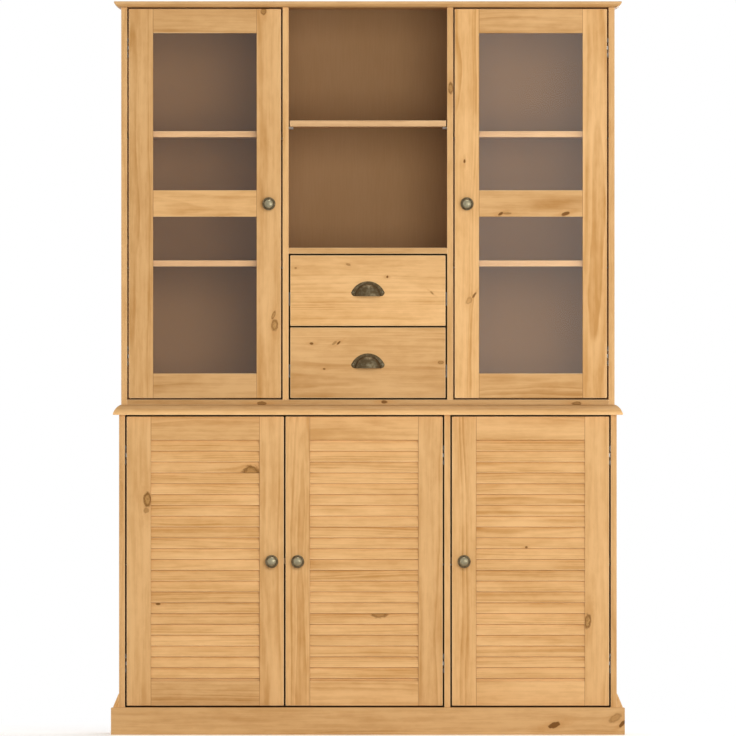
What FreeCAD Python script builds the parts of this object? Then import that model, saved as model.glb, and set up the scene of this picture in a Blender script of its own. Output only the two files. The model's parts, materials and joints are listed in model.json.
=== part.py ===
"""Buffet cabinet: a glazed hutch with an open bay and two drawers, on a louvred base cupboard.

The front faces -Y, +Z is up, and the origin is on the floor at the middle of the plan.
Lengths are in millimetres and angles in degrees.
"""
import FreeCAD, Part
import os
import re
from collections import defaultdict

import Sketcher

SIZES = {
    # Boards of the carcass, and the rebates that take the back panels
    "board_thick": 16,
    "back_thick": 4,
    "back_rebate": 8,
    # Base cupboard
    "base_width": 1337,
    "base_depth": 378,
    "base_height": 859,
    "base_shelf_level": 385,
    # Plinth: a front board that runs past a bevelled skirting on each side
    "plinth_height": 73.4,
    "plinth_thick": 22,
    "plinth_overrun": 5.5,
    "plinth_round": 3,
    "skirting_thick": 16,
    "skirting_height": 109,
    "skirting_bevel": 34,
    "skirting_crest": 2,
    # Worktop, which swells out from the hutch to a rounded shoulder over an upright edge
    "worktop_thick": 27,
    "worktop_lip": 16.5,
    "worktop_ledge": 2.5,
    "worktop_edge": 3,
    "worktop_shoulder_out": 2,
    "worktop_shoulder_rise": 5,
    "worktop_swell": 1.8,
    # Hutch
    "hutch_inset": 5.7,
    "hutch_height": 1068,
    "hutch_floor_thick": 14,
    "open_bay_width": 426,
    "open_shelf_level": 326,
    "glazed_upper_shelf_level": 705.5,
    "glazed_lower_shelf_level": 358,
    # Cornice, upright at the top and rounded under
    "cornice_thick": 16,
    "cornice_lip": 19,
    "cornice_edge": 5,
    "cornice_foot": 6,
    "cornice_belly_in_share": 0.45,
    "cornice_belly_down_share": 0.56,
    # Loose shelves and their pins
    "shelf_end_gap": 3,
    "shelf_rear_gap": 2,
    "shelf_set_back": 12,
    "open_shelf_set_back": 2,
    "pin_radius": 2.5,
    "pin_depth": 7,
    "pin_reach": 12,
    "pin_inset": 60,
    # Dowels that join the fixed boards
    "dowel_radius": 4,
    "dowel_face_depth": 10,
    "dowel_end_depth": 20,
    "upright_dowel_inset": 40,
    "level_dowel_inset": 75,
    # Door frames
    "door_thick": 18,
    "door_gap": 4.4,
    "stile_width": 65.5,
    "top_rail_width": 65,
    "middle_rail_width": 71,
    "glazed_bottom_rail_width": 66,
    "louvre_top_rail_width": 63,
    "louvre_bottom_rail_width": 66,
    "tenon_length": 14,
    "tenon_thick": 7,
    "tenon_shoulder": 9,
    # Panes, set in a rebate behind a lip and held by beads
    "glass_lip": 8,
    "glass_thick": 3,
    "glass_rebate": 8,
    "glass_play": 1,
    # Louvre slats, each tilted with its lower edge to the front
    "slat_count": 22,
    "slat_wide": 33,
    "slat_thick": 6,
    "slat_tilt": 15,
    "slat_set_back": 1.5,
    "slat_housing": 6,
    "slat_rise": 6.7,
    "slat_seat_set_back": 8,
    "slat_seat_grip": 6,
    # Knobs
    "knob_drop": 1,
    "knob_radius": 17.6,
    "knob_dome_radius": 13,
    "knob_foot_radius": 10,
    "knob_neck_radius": 6.5,
    "knob_foot_thick": 2,
    "knob_neck_length": 10,
    "knob_flare_length": 3,
    "knob_rim_thick": 4,
    "knob_shoulder_length": 3,
    "knob_dome_rise": 6,
    "knob_screw_radius": 2,
    "knob_screw_bite": 10,
    "knob_screw_head_radius": 4.5,
    "knob_screw_head_thick": 2.2,
    # Cup pulls, each a D-shaped flange and a hollow cup that is open below
    "pull_width": 90,
    "pull_height": 40,
    "pull_corner": 10,
    "pull_flange_thick": 1.5,
    "pull_wall": 1.8,
    "pull_cup_half_width": 35.5,
    "pull_cup_height": 34,
    "pull_cup_reach": 22,
    "pull_drop": 15,
    "pull_screw_spacing": 78,
    "pull_screw_rise": 10.5,
    "pull_screw_radius": 1.75,
    "pull_screw_length": 14,
    "pull_screw_head_radius": 2.8,
    "pull_screw_head_thick": 1.6,
    # Concealed hinges
    "hinge_top_drop": 104,
    "hinge_bottom_rise": 113,
    "hinge_cup_radius": 17.5,
    "hinge_cup_depth": 11.5,
    "hinge_cup_wall": 1,
    "hinge_cup_rim": 2,
    "hinge_cup_inset": 22,
    "hinge_flange_width": 16,
    "hinge_flange_height": 58,
    "hinge_flange_thick": 1,
    "hinge_clearance": 0.5,
    "arm_height": 10,
    "arm_leg_thick": 8,
    "arm_nose_thick": 7,
    "arm_nose_overrun": 6,
    "arm_length": 60,
    "plate_thick": 1,
    "plate_length": 18,
    "plate_height": 52,
    "plate_set_back": 30,
    "plate_lobe_thick": 2.5,
    "plate_lobe_height": 13,
    "plate_screw_radius": 1.75,
    "plate_screw_bite": 11,
    "plate_screw_head_radius": 4,
    "plate_screw_head_thick": 1.2,
    # Drawers
    "drawer_height": 189.4,
    "drawer_side_thick": 12,
    "drawer_box_height": 140,
    "drawer_box_rise": 15,
    "drawer_box_length": 310,
    "drawer_bottom_thick": 4,
    "drawer_bottom_rise": 10,
    "drawer_groove_depth": 6,
    # Ball-bearing drawer slides: a channel on the divider, a carrier, and a rail on the drawer
    "slide_space": 12.7,
    "slide_height": 35,
    "slide_length": 300,
    "slide_wall": 1.2,
    "slide_channel_depth": 9.5,
    "slide_clearance": 0.4,
    "slide_drop": 22,
    "slide_set_back": 3,
    # Shares that place the middle of a bend between its two ends
    "bend_near_share": 0.3,
    "bend_far_share": 0.7,
    "dome_share": 0.77,
}

PLACES = {
    # Depths, from the front of the base to its rear
    "knob_head_start": "knob_foot_thick + knob_neck_length + knob_flare_length",
    "knob_rim_end": "knob_head_start + knob_rim_thick",
    "knob_shoulder_end": "knob_rim_end + knob_shoulder_length",
    "knob_length": "knob_shoulder_end + knob_dome_rise",
    "front": "(knob_length - base_depth) / 2",
    "rear": "front + base_depth",
    "inner_rear": "rear - back_thick",
    # Base, with two bays left of the divider and one right of it
    "base_half": "base_width / 2 - board_thick",
    "lower_door_width": "(2 * base_half - board_thick - 5 * door_gap) / 3",
    "lower_door_z": "plinth_height + door_gap",
    "lower_door_height": "base_height - door_gap - lower_door_z",
    "lower_door_front": "front",
    "lower_door_rear": "lower_door_front + door_thick",
    "lower_left_door_x": "door_gap - base_half",
    "lower_middle_door_x": "lower_left_door_x + lower_door_width + door_gap",
    "base_divider_x": "lower_middle_door_x + lower_door_width + door_gap",
    "lower_right_door_x": "base_divider_x + board_thick + door_gap",
    "base_bottom_z": "plinth_height - board_thick",
    "base_shelf_z": "plinth_height + base_shelf_level",
    # Hutch, with a glazed bay on each side of the open one
    "hutch_z": "base_height + worktop_thick",
    "hutch_top": "hutch_z + hutch_height",
    "hutch_front": "front + hutch_inset",
    "hutch_depth": "rear - hutch_front",
    "hutch_outer": "base_width / 2 - hutch_inset",
    "hutch_half": "hutch_outer - board_thick",
    "bay_z": "hutch_z + hutch_floor_thick",
    "bay_depth": "inner_rear - hutch_front",
    "open_bay_half": "open_bay_width / 2",
    "divider_outer": "open_bay_half + board_thick",
    "upper_door_width": "hutch_half - divider_outer - 2 * door_gap",
    "upper_door_z": "bay_z + door_gap",
    "upper_door_height": "hutch_top - door_gap - upper_door_z",
    "upper_door_front": "hutch_front",
    "upper_door_rear": "upper_door_front + door_thick",
    "upper_left_door_x": "door_gap - hutch_half",
    "upper_right_door_x": "divider_outer + door_gap",
    # Drawers, one above the other under the fixed shelf
    "drawer_width": "open_bay_width - 2 * door_gap",
    "lower_drawer_z": "bay_z + door_gap",
    "upper_drawer_z": "lower_drawer_z + drawer_height + door_gap",
    "drawer_shelf_z": "upper_drawer_z + drawer_height + door_gap",
    "drawer_rear": "hutch_front + door_thick",
    "drawer_box_half": "open_bay_half - slide_space",
    "drawer_inner_half": "drawer_box_half - drawer_side_thick",
    "open_shelf_z": "drawer_shelf_z + board_thick + open_shelf_level",
    # Openings of the door frames
    "middle_rail_z": "upper_door_z + (upper_door_height - middle_rail_width) / 2",
    "pane_width": "upper_door_width - 2 * stile_width",
    "lower_pane_z": "upper_door_z + glazed_bottom_rail_width",
    "lower_pane_height": "middle_rail_z - lower_pane_z",
    "upper_pane_z": "middle_rail_z + middle_rail_width",
    "upper_pane_height": "upper_door_z + upper_door_height - top_rail_width - upper_pane_z",
    "louvre_width": "lower_door_width - 2 * stile_width",
    "louvre_z": "lower_door_z + louvre_bottom_rail_width",
    "louvre_height": "lower_door_z + lower_door_height - louvre_top_rail_width - louvre_z",
    "slat_pitch": "(louvre_height - slat_rise - 2 * slat_stand_thick) / slat_count",
    "slat_lean": "slat_wide / 2 * sin(slat_tilt)",
    "slat_stand": "slat_wide / 2 * cos(slat_tilt)",
    "slat_lean_thick": "slat_thick / 2 * cos(slat_tilt)",
    "slat_stand_thick": "slat_thick / 2 * sin(slat_tilt)",
    # Slides, each member nested in the next with the same clearance
    "carrier_start": "slide_wall + slide_clearance",
    "carrier_height": "slide_height - 2 * carrier_start",
    "rail_start": "carrier_start + slide_wall + slide_clearance",
    "rail_height": "carrier_height - 2 * (slide_wall + slide_clearance)",
    "carrier_depth": "slide_space - slide_wall - slide_clearance - carrier_start",
    "rail_depth": "slide_space - rail_start",
    "slide_y": "drawer_rear + slide_set_back",
}

doc = FreeCAD.newDocument("buffet_cabinet")
sheet = doc.addObject("Spreadsheet::Sheet", "Sizes")
WORD = re.compile(r"[a-z_]+")
NAMES = set(SIZES) | set(PLACES)


def fill_sheet():
    """Write each size as a number and each place as a formula, with its name beside it."""
    for row, (name, value) in enumerate({**SIZES, **PLACES}.items(), start=1):
        sheet.set(f"A{row}", name)
        sheet.set(f"B{row}", str(value) if name in SIZES else "=" + value)
        sheet.setAlias(f"B{row}", name)
    doc.recompute()


def bound(words):
    """An expression of named sizes, written for an object outside the sheet."""
    return WORD.sub(lambda found: "Sizes." + found[0] if found[0] in NAMES else found[0], words)


def number(words):
    """The value that an expression of named sizes has now."""
    return float(sheet.evalExpression(bound(words)))


def place(piece, low):
    """Tie a piece's position to three expressions."""
    for axis, words in zip("xyz", low):
        piece.setExpression(f"Placement.Base.{axis}", bound(words))
    return piece


# Shapes that every piece is made of

ALONG = {
    "x": FreeCAD.Rotation(FreeCAD.Vector(0, 1, 0), 90),
    "y": FreeCAD.Rotation(FreeCAD.Vector(1, 0, 0), -90),
    "z": FreeCAD.Rotation(),
}


def box(name, low, size):
    """A rectangular block from its low corner."""
    piece = doc.addObject("Part::Box", name)
    for side, words in zip(("Length", "Width", "Height"), size):
        piece.setExpression(side, bound(words))
    return place(piece, low)


def rod(name, along, start, radius, length):
    """A round bar that starts at a point and runs along an axis."""
    piece = doc.addObject("Part::Cylinder", name)
    piece.Placement = FreeCAD.Placement(FreeCAD.Vector(), ALONG[along])
    piece.setExpression("Radius", bound(radius))
    piece.setExpression("Height", bound(length))
    return place(piece, start)


def group(name, pieces):
    """Separate solids kept together."""
    piece = doc.addObject("Part::Compound", name)
    piece.Links = pieces
    return piece


def cut(name, base, tools):
    """A piece with the room for other pieces taken out of it."""
    piece = doc.addObject("Part::Cut", name)
    piece.Base = base
    piece.Tool = tools[0] if len(tools) == 1 else group(name + "_tools", tools)
    return piece


def fuse(name, pieces):
    """One solid made of overlapping shapes."""
    piece = doc.addObject("Part::MultiFuse", name)
    piece.Shapes = pieces
    piece.Refine = True
    return piece


def origin_feature(body, role):
    """One of a body's own origin planes or axes."""
    return next(found for found in body.Origin.OriginFeatures if found.Role == role)


def pin_point(sketch, geometry, end, words, name):
    """Hold one point of a sketch at a pair of expressions."""
    for kind, other_axis, expression in (("DistanceX", -2, words[0]), ("DistanceY", -1, words[1])):
        if expression == "0":
            sketch.addConstraint(Sketcher.Constraint("PointOnObject", geometry, end, other_axis))
            continue
        held = Sketcher.Constraint(kind, -1, 1, geometry, end, number(expression))
        label = f"{name}_{kind[-1].lower()}"
        sketch.renameConstraint(sketch.addConstraint(held), label)
        sketch.setExpression(f"Constraints.{label}", bound(expression))


def outline(body, plane, corners):
    """A closed sketch through corners; a third entry marks a point that an arc passes instead."""
    sketch = body.newObject("Sketcher::SketchObject", body.Name + "_outline")
    sketch.AttachmentSupport = [(origin_feature(body, plane), "")]
    sketch.MapMode = "FlatFace"
    points = [FreeCAD.Vector(number(corner[0]), number(corner[1]), 0) for corner in corners]
    ends = [index for index, corner in enumerate(corners) if len(corner) == 2]
    joints = []
    for start, end in zip(ends, ends[1:] + ends[:1]):
        middle = (start + 1) % len(corners)
        if middle == end:
            geometry = sketch.addGeometry(Part.LineSegment(points[start], points[end]))
            joints.append((geometry, 1, 2, start))
            continue
        # A sketch holds each arc anticlockwise, so its ends may stand the other way round
        turn = (points[middle] - points[start]).cross(points[end] - points[middle]).z
        first, last = (start, end) if turn > 0 else (end, start)
        geometry = sketch.addGeometry(Part.Arc(points[first], points[middle], points[last]))
        joints.append((geometry, 1, 2, start) if turn > 0 else (geometry, 2, 1, start))
        passed = sketch.addGeometry(Part.Point(points[middle]), True)
        pin_point(sketch, passed, 1, corners[middle], f"bend{middle}")
        sketch.addConstraint(Sketcher.Constraint("PointOnObject", passed, 1, geometry))
    for index, (geometry, begin, end, corner) in enumerate(joints):
        following = joints[(index + 1) % len(joints)]
        sketch.addConstraint(Sketcher.Constraint("Coincident", geometry, end, following[0], following[1]))
        pin_point(sketch, geometry, begin, corners[corner], f"corner{corner}")
    return sketch


def extrusion(name, plane, corners, length, back=False):
    """A body with one outline pushed out along the plane's normal, or back along it."""
    body = doc.addObject("PartDesign::Body", name)
    sketch = outline(body, plane, corners)
    pad = body.newObject("PartDesign::Pad", name + "_pad")
    pad.Profile = sketch
    pad.Reversed = back
    pad.setExpression("Length", bound(length))
    return body


def turning(name, corners):
    """A body turned about its own Y axis from an outline of (radius, y) corners."""
    body = doc.addObject("PartDesign::Body", name)
    sketch = outline(body, "XY_Plane", corners)
    turned = body.newObject("PartDesign::Revolution", name + "_turned")
    turned.Profile = sketch
    turned.ReferenceAxis = (sketch, ["V_Axis"])
    turned.Angle = 360
    return body


def from_edge(edge, side, start, width):
    """Low X of a piece that starts this far in from an edge on the given side of an opening."""
    if side == "left":
        return f"{edge} + {start}"
    return f"{edge} - ({start}) - ({width})"


nodes = {}
recesses = defaultdict(list)
hinge_plates = []
hinge_arms = []


def keep(name, piece):
    """Make a piece one of the cabinet's sub-parts, under its own label."""
    piece.Label = name
    nodes[name] = piece
    return piece


def finish_board(name, blank):
    """A board with every hole and rebate that its neighbours need."""
    return cut(name + "_worked", blank, recesses[name]) if recesses[name] else blank


# Joints of the carcass

def add_recess(tool, *boards):
    for board in boards:
        recesses[board].append(tool)
    return tool


def upright_dowels(name, x, joint, lower, upper, lower_is_end):
    """Two dowels through a level joint, deeper in the board whose end meets it."""
    low_depth = "dowel_end_depth" if lower_is_end else "dowel_face_depth"
    rows = ("hutch_front + upright_dowel_inset", "inner_rear - upright_dowel_inset")
    made = []
    for row, y in enumerate(rows):
        start = (x, y, f"{joint} - {low_depth}")
        dowel = rod(f"{name}_dowel_{row}", "z", start, "dowel_radius", "dowel_face_depth + dowel_end_depth")
        made.append(add_recess(dowel, lower, upper))
    return made


def level_dowels(name, joint, side, z, outer, inner):
    """Two dowels from the end of a level board into the face of the upright beside it."""
    rows = ("hutch_front + level_dowel_inset", "inner_rear - level_dowel_inset")
    length = "dowel_face_depth + dowel_end_depth"
    made = []
    for row, y in enumerate(rows):
        start = (from_edge(joint, side, "-dowel_face_depth", length), y, z)
        dowel = rod(f"{name}_dowel_{row}", "x", start, "dowel_radius", length)
        made.append(add_recess(dowel, outer, inner))
    return made


def make_dowels():
    """All the dowels, which the boards are then bored for."""
    half_board = "board_thick / 2"
    made = []
    for side, sign in (("left", "-"), ("right", "")):
        turn_in = "+" if side == "left" else "-"
        base_x = f"{sign}base_width / 2 {turn_in} {half_board}"
        hutch_x = f"{sign}hutch_outer {turn_in} {half_board}"
        bay_x = f"{sign}(divider_outer - {half_board})"
        base_side = f"base_side_{side}"
        hutch_side = f"hutch_side_{side}"
        divider = f"hutch_divider_{side}"
        made += upright_dowels(f"{base_side}_top", base_x, "base_height", base_side, "worktop", True)
        made += upright_dowels(f"{hutch_side}_foot", hutch_x, "hutch_z", "worktop", hutch_side, False)
        made += upright_dowels(f"{hutch_side}_top", hutch_x, "hutch_top", hutch_side, "cornice", True)
        made += upright_dowels(f"{divider}_foot", bay_x, "bay_z", "hutch_floor", divider, False)
        made += upright_dowels(f"{divider}_top", bay_x, "hutch_top", divider, "cornice", True)
        made += level_dowels(f"base_bottom_{side}", f"{sign}base_half", side,
                             "base_bottom_z + board_thick / 2", base_side, "base_bottom")
        made += level_dowels(f"hutch_floor_{side}", f"{sign}hutch_half", side,
                             "hutch_z + hutch_floor_thick / 2", hutch_side, "hutch_floor")
        made += level_dowels(f"drawer_shelf_{side}", f"{sign}open_bay_half", side,
                             "drawer_shelf_z + board_thick / 2", divider, "drawer_shelf")
    divider_x = f"base_divider_x + {half_board}"
    made += upright_dowels("base_divider_foot", divider_x, "plinth_height",
                           "base_bottom", "base_divider", False)
    made += upright_dowels("base_divider_top", divider_x, "base_height",
                           "base_divider", "worktop", True)
    keep("joint_dowels", group("joint_dowels", made))


# Loose shelves on pins

def loose_shelf(name, start, width, front, z, boards):
    """A shelf between two uprights, and the four pins that it lies on."""
    shelf_x = f"{start} + shelf_end_gap"
    shelf_rear = "inner_rear - shelf_rear_gap"
    size = (f"{width} - 2 * shelf_end_gap", f"{shelf_rear} - ({front})", "board_thick")
    shelf = box(name, (shelf_x, front, z), size)
    pins = []
    for side, wall, board in (("left", start, boards[0]), ("right", f"{start} + {width}", boards[1])):
        for row, y in enumerate((f"{front} + pin_inset", f"{shelf_rear} - pin_inset")):
            length = "pin_depth + pin_reach"
            low = (from_edge(wall, side, "-pin_depth", length), y, f"{z} - pin_radius")
            pins.append(add_recess(rod(f"{name}_{side}_pin_{row}", "x", low, "pin_radius", length), board))
    return shelf, pins


def make_loose_shelves():
    """Two shelves in each glazed bay, one in the open bay and two in the base."""
    glazed_front = "upper_door_rear + shelf_set_back"
    base_front = "lower_door_rear + shelf_set_back"
    glazed_width = "(hutch_half - divider_outer)"
    places = []
    for level in ("upper", "lower"):
        z = f"(bay_z + glazed_{level}_shelf_level)"
        places.append((f"left_bay_{level}_shelf", "-hutch_half", glazed_width, glazed_front, z,
                       ("hutch_side_left", "hutch_divider_left")))
        places.append((f"right_bay_{level}_shelf", "divider_outer", glazed_width, glazed_front, z,
                       ("hutch_divider_right", "hutch_side_right")))
    places.append(("open_bay_shelf", "-open_bay_half", "open_bay_width",
                   "hutch_front + open_shelf_set_back", "open_shelf_z",
                   ("hutch_divider_left", "hutch_divider_right")))
    places.append(("base_left_shelf", "-base_half", "(base_divider_x + base_half)", base_front,
                   "base_shelf_z", ("base_side_left", "base_divider")))
    places.append(("base_right_shelf", "(base_divider_x + board_thick)",
                   "(base_half - base_divider_x - board_thick)", base_front,
                   "base_shelf_z", ("base_divider", "base_side_right")))
    shelves = []
    pins = []
    for shelf_place in places:
        shelf, shelf_pins = loose_shelf(*shelf_place)
        shelves.append(shelf)
        pins += shelf_pins
    keep("loose_shelves", group("loose_shelves", shelves))
    keep("shelf_pins", group("shelf_pins", pins))


# Boards of the base and the hutch

def moulded_board(name, face, end, low, width, depth):
    """A board with one moulding round its two ends and its front, mitred at the corners.

    The outline in face is seen from the front and the one in end from the side, and each is
    pushed through the whole board, so that what both hold is the board.
    """
    across = extrusion(name + "_face", "XZ_Plane", face, depth, back=True)
    along = extrusion(name + "_end", "YZ_Plane", end, width)
    place(across, ("0", low[0], low[1]))
    place(along, (f"-({width}) / 2", low[0], low[1]))
    piece = doc.addObject("Part::MultiCommon", name)
    piece.Shapes = [across, along]
    return piece


def both_ways(profile, half):
    """The face outline of a board, from its moulding's (out, z) corners going up its right end."""
    right = [(f"{half} + {corner[0]}",) + corner[1:] for corner in profile]
    left = [(f"-({corner[0]})",) + corner[1:] for corner in reversed(right)]
    return right + left


def front_way(profile, reach, depth):
    """The end outline of a board, with the moulding at its front and a square rear."""
    front = [(f"{reach} - ({corner[0]})",) + corner[1:] for corner in profile]
    top = profile[-1][1]
    bottom = profile[0][1]
    return front + [(depth, top), (depth, bottom)]


def make_worktop():
    shoulder_out = "worktop_lip - worktop_shoulder_out"
    shoulder_top = "worktop_edge + worktop_shoulder_rise"
    profile = [
        ("worktop_lip", "0"),
        ("worktop_lip", "worktop_edge"),
        ("worktop_lip - bend_near_share * worktop_shoulder_out",
         "worktop_edge + worktop_shoulder_rise / 2", "bend"),
        (shoulder_out, shoulder_top),
        (f"({shoulder_out} + worktop_ledge - hutch_inset) / 2 + worktop_swell",
         f"({shoulder_top} + worktop_thick) / 2 + worktop_swell", "bend"),
        ("worktop_ledge - hutch_inset", "worktop_thick"),
    ]
    depth = "base_depth + worktop_lip"
    board = moulded_board("worktop_blank", both_ways(profile, "base_width / 2"),
                          front_way(profile, "worktop_lip", depth),
                          ("front - worktop_lip", "base_height"), "base_width + 2 * worktop_lip", depth)
    keep("worktop", finish_board("worktop", board))


def make_cornice():
    belly_out = "cornice_lip - cornice_belly_in_share * (cornice_lip - cornice_foot)"
    belly_down = "(1 - cornice_belly_down_share) * (cornice_thick - cornice_edge)"
    profile = [
        ("cornice_foot", "0"),
        (belly_out, belly_down, "bend"),
        ("cornice_lip", "cornice_thick - cornice_edge"),
        ("cornice_lip", "cornice_thick"),
    ]
    depth = "hutch_depth + cornice_lip"
    board = moulded_board("cornice_blank", both_ways(profile, "hutch_outer"),
                          front_way(profile, "cornice_lip", depth),
                          ("hutch_front - cornice_lip", "hutch_top"),
                          "2 * (hutch_outer + cornice_lip)", depth)
    keep("cornice", finish_board("cornice", board))


def make_plinth():
    """A front board with a rounded top edge, and a bevelled skirting on each side."""
    overhang = "skirting_thick + plinth_overrun"
    profile = [
        (overhang, "0"),
        (overhang, "plinth_height - plinth_round"),
        (f"{overhang} - bend_near_share * plinth_round",
         "plinth_height - bend_near_share * plinth_round", "bend"),
        (f"{overhang} - plinth_round", "plinth_height"),
    ]
    board = moulded_board("plinth_front", both_ways(profile, "base_width / 2"),
                          front_way(profile, overhang, "plinth_thick"),
                          ("front - plinth_thick", "0"), f"base_width + 2 * ({overhang})", "plinth_thick")
    keep("plinth_front", board)
    skirtings = []
    for side, out in (("left", "-"), ("right", "")):
        corners = [
            ("0", "0"),
            (f"{out}skirting_thick", "0"),
            (f"{out}skirting_thick", "skirting_height - skirting_bevel"),
            (f"{out}skirting_crest", "skirting_height"),
            ("0", "skirting_height"),
        ]
        skirting = extrusion(f"skirting_{side}", "XZ_Plane", corners, "base_depth", back=True)
        skirtings.append(place(skirting, (f"{out}base_width / 2", "front", "0")))
    keep("plinth_sides", group("plinth_sides", skirtings))


def back_panel(name, half, low, high, sides):
    """A thin panel let into rebates along the rear edges of two sides."""
    panel = box(name, (f"-{half} - back_rebate", "inner_rear", low),
                (f"2 * ({half} + back_rebate)", "back_thick", f"{high} - ({low})"))
    keep(name, add_recess(panel, *sides))


def make_back_panels():
    back_panel("base_back_panel", "base_half", "base_bottom_z", "base_height",
               ("base_side_left", "base_side_right"))
    back_panel("hutch_back_panel", "hutch_half", "hutch_z", "hutch_top",
               ("hutch_side_left", "hutch_side_right"))


def make_base():
    depth = "base_depth - back_thick"
    for side, x in (("left", "-base_width / 2"), ("right", "base_half")):
        name = f"base_side_{side}"
        blank = box(name, (x, "front", "0"), ("board_thick", "base_depth", "base_height"))
        keep(name, finish_board(name, blank))
    bottom = box("base_bottom", ("-base_half", "front", "base_bottom_z"),
                 ("2 * base_half", depth, "board_thick"))
    keep("base_bottom", finish_board("base_bottom", bottom))
    divider = box("base_divider", ("base_divider_x", "front", "plinth_height"),
                  ("board_thick", depth, "base_height - plinth_height"))
    keep("base_divider", finish_board("base_divider", divider))


def make_hutch():
    for side, x in (("left", "-hutch_outer"), ("right", "hutch_half")):
        name = f"hutch_side_{side}"
        blank = box(name, (x, "hutch_front", "hutch_z"), ("board_thick", "hutch_depth", "hutch_height"))
        keep(name, finish_board(name, blank))
    floor = box("hutch_floor", ("-hutch_half", "hutch_front", "hutch_z"),
                ("2 * hutch_half", "bay_depth", "hutch_floor_thick"))
    keep("hutch_floor", finish_board("hutch_floor", floor))
    dividers = []
    for side, x in (("left", "-divider_outer"), ("right", "open_bay_half")):
        name = f"hutch_divider_{side}"
        blank = box(name, (x, "hutch_front", "bay_z"), ("board_thick", "bay_depth", "hutch_top - bay_z"))
        dividers.append(finish_board(name, blank))
    keep("hutch_dividers", group("hutch_dividers", dividers))
    shelf = box("drawer_shelf", ("-open_bay_half", "hutch_front", "drawer_shelf_z"),
                ("open_bay_width", "bay_depth", "board_thick"))
    keep("drawer_shelf", finish_board("drawer_shelf", shelf))


# Hinges and knobs

def hinge_cup(name, edge, side, rear, level):
    """The cup and wings in the back of a door, and the plain plug that its bore is cut with."""
    x = from_edge(edge, side, "hinge_cup_inset", "0")
    bottom = f"{rear} - hinge_cup_depth"
    plug = rod(f"{name}_plug", "y", (x, bottom, level), "hinge_cup_radius", "hinge_cup_depth")
    wings = box(f"{name}_wings",
                (f"{x} - hinge_flange_width / 2", rear, f"{level} - hinge_flange_height / 2"),
                ("hinge_flange_width", "hinge_flange_thick", "hinge_flange_height"))
    rim = rod(f"{name}_rim", "y", (x, rear, level), "hinge_cup_radius + hinge_cup_rim", "hinge_flange_thick")
    hollow = rod(f"{name}_hollow", "y", (x, f"{bottom} + hinge_cup_wall", level),
                 "hinge_cup_radius - hinge_cup_wall", "hinge_cup_depth + hinge_flange_thick")
    return cut(name, fuse(f"{name}_blank", [plug, wings, rim]), [hollow]), plug


def hinge_arm(name, wall, side, rear, level):
    """The arm that reaches from its plate to just behind the cup."""
    y = f"{rear} + hinge_flange_thick + hinge_clearance"
    z = f"{level} - arm_height / 2"
    reach = "door_gap + hinge_cup_inset + arm_nose_overrun - plate_thick"
    leg = box(f"{name}_leg", (from_edge(wall, side, "plate_thick", "arm_leg_thick"), y, z),
              ("arm_leg_thick", "arm_length", "arm_height"))
    nose = box(f"{name}_nose", (from_edge(wall, side, "plate_thick", reach), y, z),
               (reach, "arm_nose_thick", "arm_height"))
    return fuse(name, [leg, nose])


def hinge_plate(name, wall, side, rear, level, board):
    """The plate on the upright, with a thicker lobe and a screw at each end."""
    y = f"{rear} + plate_set_back"
    base = box(f"{name}_base", (from_edge(wall, side, "0", "plate_thick"), y, f"{level} - plate_height / 2"),
               ("plate_thick", "plate_length", "plate_height"))
    lobes = []
    screws = []
    for end, low in (("low", "-plate_height / 2"), ("high", "plate_height / 2 - plate_lobe_height")):
        lobes.append(box(f"{name}_{end}_lobe",
                         (from_edge(wall, side, "0", "plate_lobe_thick"), y, f"{level} + {low}"),
                         ("plate_lobe_thick", "plate_length", "plate_lobe_height")))
        centre = (f"{y} + plate_length / 2", f"{level} + {low} + plate_lobe_height / 2")
        length = "plate_screw_bite + plate_lobe_thick"
        shank = rod(f"{name}_{end}_shank", "x",
                    (from_edge(wall, side, "-plate_screw_bite", length),) + centre,
                    "plate_screw_radius", length)
        head = rod(f"{name}_{end}_head", "x",
                   (from_edge(wall, side, "plate_lobe_thick", "plate_screw_head_thick"),) + centre,
                   "plate_screw_head_radius", "plate_screw_head_thick")
        screws.append(add_recess(fuse(f"{name}_{end}_screw", [shank, head]), board))
    return [cut(name, fuse(f"{name}_blank", [base] + lobes), screws)] + screws


def hang_door(door, tier, side, board):
    """Hinge a door on one upright; returns its cups and the plugs that bore its stile."""
    edge = f"{door}_x" if side == "left" else f"{door}_x + {tier}_door_width"
    wall = f"{edge} - door_gap" if side == "left" else f"{edge} + door_gap"
    rear = f"{tier}_door_rear"
    levels = {
        "top": f"({tier}_door_z + {tier}_door_height - hinge_top_drop)",
        "bottom": f"({tier}_door_z + hinge_bottom_rise)",
    }
    cups = []
    plugs = []
    for place_name, level in levels.items():
        name = f"{door}_{place_name}_hinge"
        cup, plug = hinge_cup(f"{name}_cup", edge, side, rear, level)
        cups.append(cup)
        plugs.append(plug)
        hinge_arms.append(hinge_arm(f"{name}_arm", wall, side, rear, level))
        hinge_plates.extend(hinge_plate(f"{name}_plate", wall, side, rear, level, board))
    keep(f"{door}_hinge_cups", group(f"{door}_hinge_cups", cups))
    return plugs


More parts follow.
